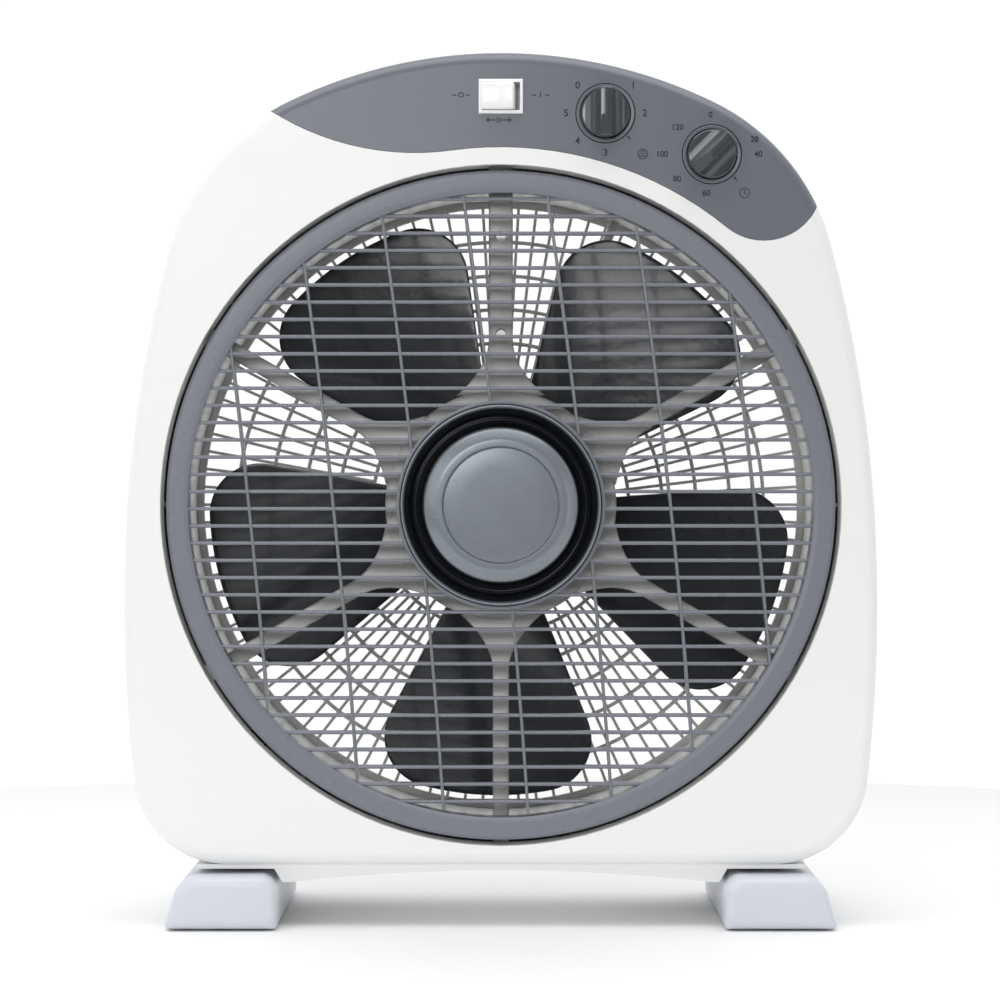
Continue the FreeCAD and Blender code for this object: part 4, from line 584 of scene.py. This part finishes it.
# ---------------------------------------------------------------- impeller
def build_impeller():
    hub = Shell()
    front, back, hub_r = IMPELLER_FRONT, IMPELLER_BACK, IMPELLER_HUB_R
    inner_r, boss_r, bore_r = hub_r - IMPELLER_WALL, IMPELLER_BOSS_R, IMPELLER_BORE_R
    hub.lathe(rounded([(bore_r, front, 0.3), (hub_r - 3, front, 1.5), (hub_r, front + 3, 2.0),
                       (hub_r, back, 0.6), (inner_r, back, 0.6), (inner_r, front + 5, 1.0),
                       (boss_r, front + 5, 0.8), (boss_r, back - 2, 0.5), (bore_r, back - 2, 0.3)]),
              steps=160)
    piece("impeller_hub", hub, "fan", BLADE_SMOKE, ("fan_blade",))
    for index in range(BLADE_COUNT):
        blade = Shell()
        blade.skin(blade_rows(math.radians(BLADE_FIRST_DEG + index * 360.0 / BLADE_COUNT)), caps=True)
        piece(f"blade_{index + 1}", blade, "fan", BLADE_SMOKE)


def blade_edge(radius):
    """Half the angle that a blade spans at a radius, with round outer corners."""
    turn_r = BLADE_TIP_R - BLADE_CORNER_R
    turn = math.asin(BLADE_CORNER_R / turn_r)
    if radius <= turn_r * math.cos(turn):
        return BLADE_HALF_SPAN
    cosine = (radius ** 2 + turn_r ** 2 - BLADE_CORNER_R ** 2) / (2 * radius * turn_r)
    return BLADE_HALF_SPAN - turn + math.acos(min(1.0, cosine))


def blade_face(radius, shift):
    """Depth of a blade's front at a radius and an angle from its middle."""
    reach = radius * math.cos(shift)
    root, tip = IMPELLER_HUB_R - 3.0, BLADE_TIP_R + 2.0
    rise = BLADE_ROOT_RISE + (BLADE_TIP_RISE - BLADE_ROOT_RISE) * (reach - root) / (tip - root)
    side = math.tan(shift) / math.tan(BLADE_PITCH_SPAN)
    return (IMPELLER_FRONT + IMPELLER_BACK) / 2 + rise * side - BLADE_BOW * rise * (1 - side ** 2)


def blade_rows(heading):
    """Closed sections of a blade from its root to its tip, thinner towards every edge."""
    rows = []
    start = IMPELLER_HUB_R - 2.0
    for step in range(BLADE_ROWS + 1):
        along = math.sin(math.pi / 2 * step / BLADE_ROWS)
        radius = start + (BLADE_TIP_R - start) * along
        limit = blade_edge(radius)
        front_row, back_row = [], []
        for place in range(BLADE_ACROSS + 1):
            side = -math.cos(math.pi * place / BLADE_ACROSS)
            shift = limit * side
            to_side = (limit - abs(shift)) * radius
            edge = min(1.0, min(to_side, BLADE_TIP_R - radius) / BLADE_EDGE_RUN)
            full = math.sqrt(max(0.0, 1 - (1 - edge) ** 2))
            thick = BLADE_THICK * (BLADE_EDGE_SHARE + (1 - BLADE_EDGE_SHARE) * full)
            mid = blade_face(radius, shift) + BLADE_THICK / 2
            front_row.append(polar(radius, heading + shift, mid - thick / 2))
            back_row.append(polar(radius, heading + shift, mid + thick / 2))
        rows.append(front_row + back_row[::-1])
    return rows


# ---------------------------------------------------------------- rear guard
def build_guard():
    guard = Shell()
    rim = GUARD_R - GUARD_RIM
    front, back = GUARD_FRONT, GUARD_BACK
    guard.lathe(rounded([(rim, front, 0.8), (GUARD_R, front, 0.5), (GUARD_R, back, 0.5), (rim, back, 0.8)]),
                steps=288)
    dip = back - GUARD_PLATE_DIP
    plate = rounded([(0.01, front, 0), (GUARD_PLATE_R, front, 0.6), (GUARD_PLATE_R, back, 1.2),
                     (GUARD_PLATE_R - GUARD_PLATE_EDGE, dip, 1.0), (0.01, dip, 0)], closed=False)
    guard.lathe(plate, steps=160, loop=False)
    row = (rim - GUARD_PLATE_R) / GUARD_RINGS
    edge = GUARD_EDGE_R
    for ring in range(1, GUARD_RINGS):
        radius = GUARD_PLATE_R + ring * row
        low, high = radius - GUARD_RING_HALF, radius + GUARD_RING_HALF
        guard.lathe(rounded([(low, front, edge), (high, front, edge), (high, back, edge), (low, back, edge)],
                            steps=3), steps=224)
    section = soft_box(GUARD_RIB_WIDTH, front + 0.2, back - 0.2, edge, steps=2)
    for rib in range(GUARD_RIBS):
        angle = 2 * math.pi * rib / GUARD_RIBS
        start = GUARD_PLATE_R - 1 if rib % 2 == 0 else GUARD_PLATE_R + row
        guard.skin([spoke_row(radius, angle, section) for radius in (start, rim + 1)], caps=True)
    piece("guard_body", guard, "casing", GUARD_WHITE, ("rear_grille",))


# ---------------------------------------------------------------- controls
def grip_profile():
    """Half section across a knob: flat grip, rounded edge, then a hollow down to the rim."""
    half, edge = KNOB_GRIP / 2, KNOB_GRIP_EDGE
    points = [(0.0, 0.0), (half - edge, 0.0)]
    edge_steps = 4
    for step in range(1, edge_steps + 1):
        angle = math.pi / 2 * step / edge_steps
        points.append((half - edge + edge * math.sin(angle), edge * (1 - math.cos(angle))))
    start = math.asin(edge / KNOB_SCOOP)
    steps = 26
    for step in range(1, steps + 1):
        angle = start + (math.pi / 2 - start) * step / steps
        points.append((half + KNOB_SCOOP * (1 - math.cos(angle)), KNOB_SCOOP * math.sin(angle)))
    return points


def clipped(profile, limit):
    """The profile with every point beyond the limit brought back to where it crosses it."""
    row = []
    for index, (across, depth) in enumerate(profile):
        if across > limit:
            (a0, d0), (a1, d1) = profile[index - 1], profile[index]
            if row and row[-1][0] >= limit:
                row.append(row[-1])
                continue
            share = (limit - a0) / (a1 - a0)
            row.append((limit, d0 + (d1 - d0) * share))
        else:
            row.append((across, depth))
    return row


def build_knob(name, node, body, pointer_deg):
    """Round knob with a grip bar across it. The bar's tail end falls away a little."""
    centre = middle(node)
    inner = KNOB_R - KNOB_RIM
    profile = grip_profile()
    turn = math.radians(pointer_deg)
    rows, rim = [], []
    count = 96
    for step in range(count + 1):
        angle = math.pi * step / count
        along = -inner * math.cos(angle)
        half = clipped(profile, inner * math.sin(angle))
        fall = max(0.0, -along - KNOB_TAIL_START) * KNOB_TAIL_SLOPE
        half = [(across, max(depth, fall)) for across, depth in half]
        full = [(-across, depth) for across, depth in reversed(half[1:])] + half
        rows.append([(across, along, depth) for across, depth in full])
        rim.append((inner * math.sin(angle), along, half[-1][1]))

    def place(across, along, depth):
        x = along * math.cos(turn) + across * math.sin(turn)
        z = along * math.sin(turn) - across * math.cos(turn)
        return (centre.x + x, KNOB_FRONT + depth, centre.z + z)

    knob = Shell()
    knob.skin([[place(*point) for point in row] for row in rows], around=False)
    edge = rim + [(-across, along, depth) for across, along, depth in reversed(rim[1:-1])]
    rings = []
    rim_steps = 4
    for step in range(rim_steps + 1):
        lean = math.pi / 2 * step / rim_steps
        scale = (inner + KNOB_RIM * math.sin(lean)) / inner
        drop = KNOB_RIM * (1 - math.cos(lean))
        rings.append([place(a * scale, b * scale, d + drop) for a, b, d in edge])
    outer = KNOB_R / inner
    rings.append([place(a * outer, b * outer, KNOB_BACK - KNOB_FRONT) for a, b, d in edge])
    knob.skin(rings)
    knob.faces.append(tuple(range(len(knob.verts) - len(edge), len(knob.verts))))
    piece(name, knob, body, KNOB_GREY, (node,), sharp_deg=KNOB_SHARP_DEG)
    ring = Shell()
    floor = PANEL_FRONT + KNOB_RING_DEPTH
    ring.lathe(rounded([(KNOB_RING_IN, floor, 0), (KNOB_RING_IN, PANEL_FRONT - 0.2, 0.3),
                        (KNOB_RING_OUT, PANEL_FRONT - 0.45, 0.4), (KNOB_RING_OUT, floor, 0)]),
               centre=(centre.x, centre.z), steps=96)
    piece(f"{name}_ring", ring, "casing", PANEL_GREY)


def build_rocker():
    """Paddle of the louvre switch, tilted so that its left half is pressed in."""
    centre = middle("swing_rocker")
    x, z = centre.x, middle("rocker_housing").z
    half, face = ROCKER_HALF, PANEL_FRONT - ROCKER_PROUD
    lift = half * math.tan(ROCKER_TILT)
    shoulder, tail = ROCKER_PIVOT + ROCKER_SHOULDER, ROCKER_PIVOT + ROCKER_TAIL
    section = rounded([(-half, face - lift, 1.1), (0.0, face, 6.0), (half, face - lift, 1.1),
                       (half, shoulder, 0), (ROCKER_TAIL_HALF, tail, 0), (-ROCKER_TAIL_HALF, tail, 0),
                       (-half, shoulder, 0)])
    paddle = Shell()
    rows = [(inset, -ROCKER_HEIGHT + up) for inset, up in ROCKER_BEVEL]
    rows += [(inset, -up) for inset, up in reversed(rows)]
    skin = []
    for inset, up in rows:
        row = []
        for across, y in section:
            across *= (half - inset) / half
            y = min(y + inset, tail) if y < ROCKER_PIVOT else y
            ahead = y - ROCKER_PIVOT
            turned_x = across * math.cos(ROCKER_TILT) + ahead * math.sin(ROCKER_TILT)
            turned_y = -across * math.sin(ROCKER_TILT) + ahead * math.cos(ROCKER_TILT)
            row.append((x + turned_x, ROCKER_PIVOT + turned_y, z + up))
        skin.append(row)
    paddle.skin(skin, caps=True)
    piece("rocker_paddle", paddle, "swing_switch", ROCKER_WHITE, ("swing_rocker",))


# ---------------------------------------------------------------- printing on the panel
class Print(Shell):
    """Thin printed marks on the panel's front."""

    def text(self, words, x, z, size):
        curve = bpy.data.curves.new("words", "FONT")
        curve.body = words
        curve.size = size
        curve.align_x, curve.align_y = "CENTER", "CENTER"
        curve.extrude = PRINT_THICK
        curve.offset = PRINT_BOLD
        holder = bpy.data.objects.new("words", curve)
        bpy.context.scene.collection.objects.link(holder)
        graph = bpy.context.evaluated_depsgraph_get()
        mesh = bpy.data.meshes.new_from_object(holder.evaluated_get(graph))
        base = len(self.verts)
        self.verts += [Vector((x + v.co.x, PANEL_FRONT - v.co.z, z + v.co.y)) for v in mesh.vertices]
        self.faces += [tuple(base + i for i in face.vertices) for face in mesh.polygons]
        bpy.data.objects.remove(holder)

    def stroke(self, points, width):
        """Flat line of one width through points of (x, z)."""
        rows = []
        for index, point in enumerate(points):
            before = Vector(points[max(0, index - 1)])
            after = Vector(points[min(len(points) - 1, index + 1)])
            side = (after - before).normalized().orthogonal() * width / 2
            here = Vector(point)
            left, right = here + side, here - side
            corners = ((left, -PRINT_THICK), (right, -PRINT_THICK), (right, PRINT_SUNK), (left, PRINT_SUNK))
            rows.append([(corner.x, PANEL_FRONT + y, corner.y) for corner, y in corners])
        self.skin(rows, caps=True)

    def arc(self, x, z, radius, first, last, width):
        steps = 28
        points = []
        for step in range(steps + 1):
            angle = math.radians(first + (last - first) * step / steps)
            points.append((x + radius * math.cos(angle), z + radius * math.sin(angle)))
        self.stroke(points, width)


def build_marks():
    marks = Print()
    speed, timer = middle("speed_knob"), middle("timer_knob")
    for words, degrees in SPEED_MARKS:
        angle = math.radians(degrees)
        x, z = speed.x + MARK_REACH * math.cos(angle), speed.z + MARK_REACH * math.sin(angle)
        marks.text(words, x, z, SPEED_MARK_SIZE)
    for words, degrees in TIMER_MARKS:
        angle = math.radians(degrees)
        spread = 1.0 + TIMER_MARK_SPREAD * len(words) * abs(math.cos(angle))
        x, z = timer.x + MARK_REACH * spread * math.cos(angle), timer.z + MARK_REACH * math.sin(angle)
        marks.text(words, x, z, TIMER_MARK_SIZE)
    tick = math.radians(TICK_DEG)
    for knob in (speed, timer):
        ends = [(knob.x + r * math.cos(tick), knob.z + r * math.sin(tick)) for r in (TICK_IN, TICK_OUT)]
        marks.stroke(ends, TICK_WIDTH)
    fan_icon(marks, speed.x + 18.3, speed.z - 20.0)
    clock_icon(marks, timer.x + 16.0, timer.z - 19.0)
    x, z = middle("rocker_housing").x, middle("rocker_housing").z
    line_z = z + ROCKER_MARK_RISE
    for side, words in ((-1, "O"), (1, "I")):
        mark_x = x + side * ROCKER_MARK_X
        marks.text(words, mark_x, line_z, ROCKER_MARK_SIZE)
        for step in (-1, 1):
            start = mark_x + step * DASH
            marks.stroke([(start, line_z), (start + step * DASH, line_z)], LINE)
    swing_icon(marks, x - 1.0, z - 11.6)
    piece("panel_marks", marks, "casing", PRINT_DARK)


def fan_icon(marks, x, z):
    """Three curled blades in a ring."""
    marks.arc(x, z, ICON_R, 0, 360, THIN_LINE)
    for blade in range(3):
        turn = blade * 120
        angle = math.radians(turn + 90)
        marks.arc(x + 0.9 * math.cos(angle), z + 0.9 * math.sin(angle), 0.8, turn, turn + 250, THIN_LINE)


def clock_icon(marks, x, z):
    marks.arc(x, z, ICON_R, 0, 360, THIN_LINE)
    marks.stroke([(x, z + 1.7), (x, z), (x + 1.2, z - 0.7)], THIN_LINE)


def swing_icon(marks, x, z):
    """An arrow to each side of a small ring."""
    for side in (-1, 1):
        marks.stroke([(x + side * 1.6, z), (x + side * 6.0, z)], LINE)
        marks.stroke([(x + side * 4.7, z + 1.1), (x + side * 6.1, z), (x + side * 4.7, z - 1.1)], LINE)
    marks.arc(x, z, 0.9, 0, 360, 0.45)


# ---------------------------------------------------------------- feet
def build_foot(node, side):
    """Bar foot with rounded shoulders and softly rounded ends."""
    low, high = node_box(node)
    inner, outer = min(abs(low.x), abs(high.x)), max(abs(low.x), abs(high.x))
    floor, top = low.z, high.z - FOOT_TOP_DROP
    section = rounded([(inner + 0.3, floor, FOOT_SOLE_EDGE), (inner, floor + 8.0, 0), (inner + 1.0, top, 8.5),
                       (outer - 7.5, top, 12.0), (outer, floor, FOOT_SOLE_EDGE)], steps=12)
    middle_x = sum(x for x, z in section) / len(section)
    middle_z = (floor + top) / 2
    rows = []
    ends = []
    for step in range(FOOT_END_STEPS + 1):
        angle = math.pi / 2 * step / FOOT_END_STEPS
        ends.append((FOOT_EDGE * (1 - math.sin(angle)), FOOT_EDGE * (1 - math.cos(angle))))
    stations = [(low.y + along, inset) for inset, along in ends]
    stations += [(high.y - along, inset) for inset, along in reversed(ends)]
    for y, inset in stations:
        row = []
        for x, z in section:
            across = (x - middle_x) * (1 - inset / (outer - middle_x))
            up = (z - middle_z) * (1 - inset / (top - middle_z))
            row.append((side * (middle_x + across), y, middle_z + up))
        rows.append(row)
    foot = Shell()
    foot.skin(rows, caps=True)
    piece(f"{node}_body", foot, "casing", FOOT_GREY, (node,))


build_foot("foot_left", -1)
build_foot("foot_right", 1)
build_louvre()
build_hub_cap()
build_knob("speed_knob_grip", "speed_knob", "speed_control", SPEED_POINTER_DEG)
build_knob("timer_knob_grip", "timer_knob", "timer_control", TIMER_POINTER_DEG)
build_rocker()
build_marks()
build_bracket()
build_impeller()
build_guard()


# ---------------------------------------------------------------- stage
def build_stage():
    white = bpy.data.materials.new("floor_white")
    white.use_nodes = True
    shader = white.node_tree.nodes["Principled BSDF"]
    shader.inputs["Base Color"].default_value = (0.92, 0.92, 0.92, 1)
    shader.inputs["Roughness"].default_value = 0.6
    edge = []
    for step in range(FLOOR_STEPS):
        angle = 2 * math.pi * step / FLOOR_STEPS
        edge.append((FLOOR_R * math.cos(angle), FLOOR_R * math.sin(angle), 0))
    mesh = bpy.data.meshes.new("floor")
    mesh.from_pydata(edge, [], [tuple(range(FLOOR_STEPS))])
    floor = bpy.data.objects.new("floor", mesh)
    floor.data.materials.append(white)
    bpy.context.scene.collection.objects.link(floor)


def softbox(name, place, target, width, height, power):
    light = bpy.data.lights.new(name, "AREA")
    light.shape = "RECTANGLE"
    light.size, light.size_y = width, height
    light.energy = power
    obj = bpy.data.objects.new(name, light)
    obj.location = place
    obj.rotation_euler = (Vector(target) - Vector(place)).to_track_quat("-Z", "Y").to_euler()
    bpy.context.scene.collection.objects.link(obj)


def build_world():
    """White room that is dimmer on the side the fan faces."""
    world = bpy.data.worlds.new("studio")
    bpy.context.scene.world = world
    world.use_nodes = True
    nodes, links = world.node_tree.nodes, world.node_tree.links
    ground = nodes["Background"]
    where = nodes.new("ShaderNodeTexCoord")
    split = nodes.new("ShaderNodeSeparateXYZ")
    links.new(where.outputs["Generated"], split.inputs["Vector"])
    fade = nodes.new("ShaderNodeMapRange")
    fade.inputs["From Min"].default_value, fade.inputs["From Max"].default_value = ROOM_FADE
    fade.inputs["To Min"].default_value = ROOM_DIM
    fade.inputs["To Max"].default_value = ROOM_BRIGHT
    links.new(split.outputs["Y"], fade.inputs["Value"])
    links.new(fade.outputs["Result"], ground.inputs["Strength"])
    ground.inputs["Color"].default_value = (1, 1, 1, 1)


def build_camera():
    data = bpy.data.cameras.new("camera")
    data.lens = CAMERA_LENS
    data.sensor_width = 36.0
    camera = bpy.data.objects.new("camera", data)
    camera.location = CAMERA_PLACE
    camera.rotation_euler = (math.radians(90), 0, 0)
    bpy.context.scene.collection.objects.link(camera)
    bpy.context.scene.camera = camera


build_stage()
build_world()
build_camera()
softbox("key", place=(-1.2, -1.3, 0.7), target=(0, 0, 0.22), width=0.9, height=1.1, power=4.2)
softbox("front", place=(-0.35, -1.6, 0.62), target=(0, 0, 0.2), width=0.7, height=0.45, power=5.4)
softbox("fill", place=(1.3, -1.3, 0.25), target=(0, 0, 0.2), width=0.4, height=0.9, power=1.5)
softbox("top", place=(0.0, -0.35, 1.35), target=(0, 0, 0.1), width=1.6, height=0.9, power=11)
bpy.context.scene.view_settings.view_transform = "Standard"
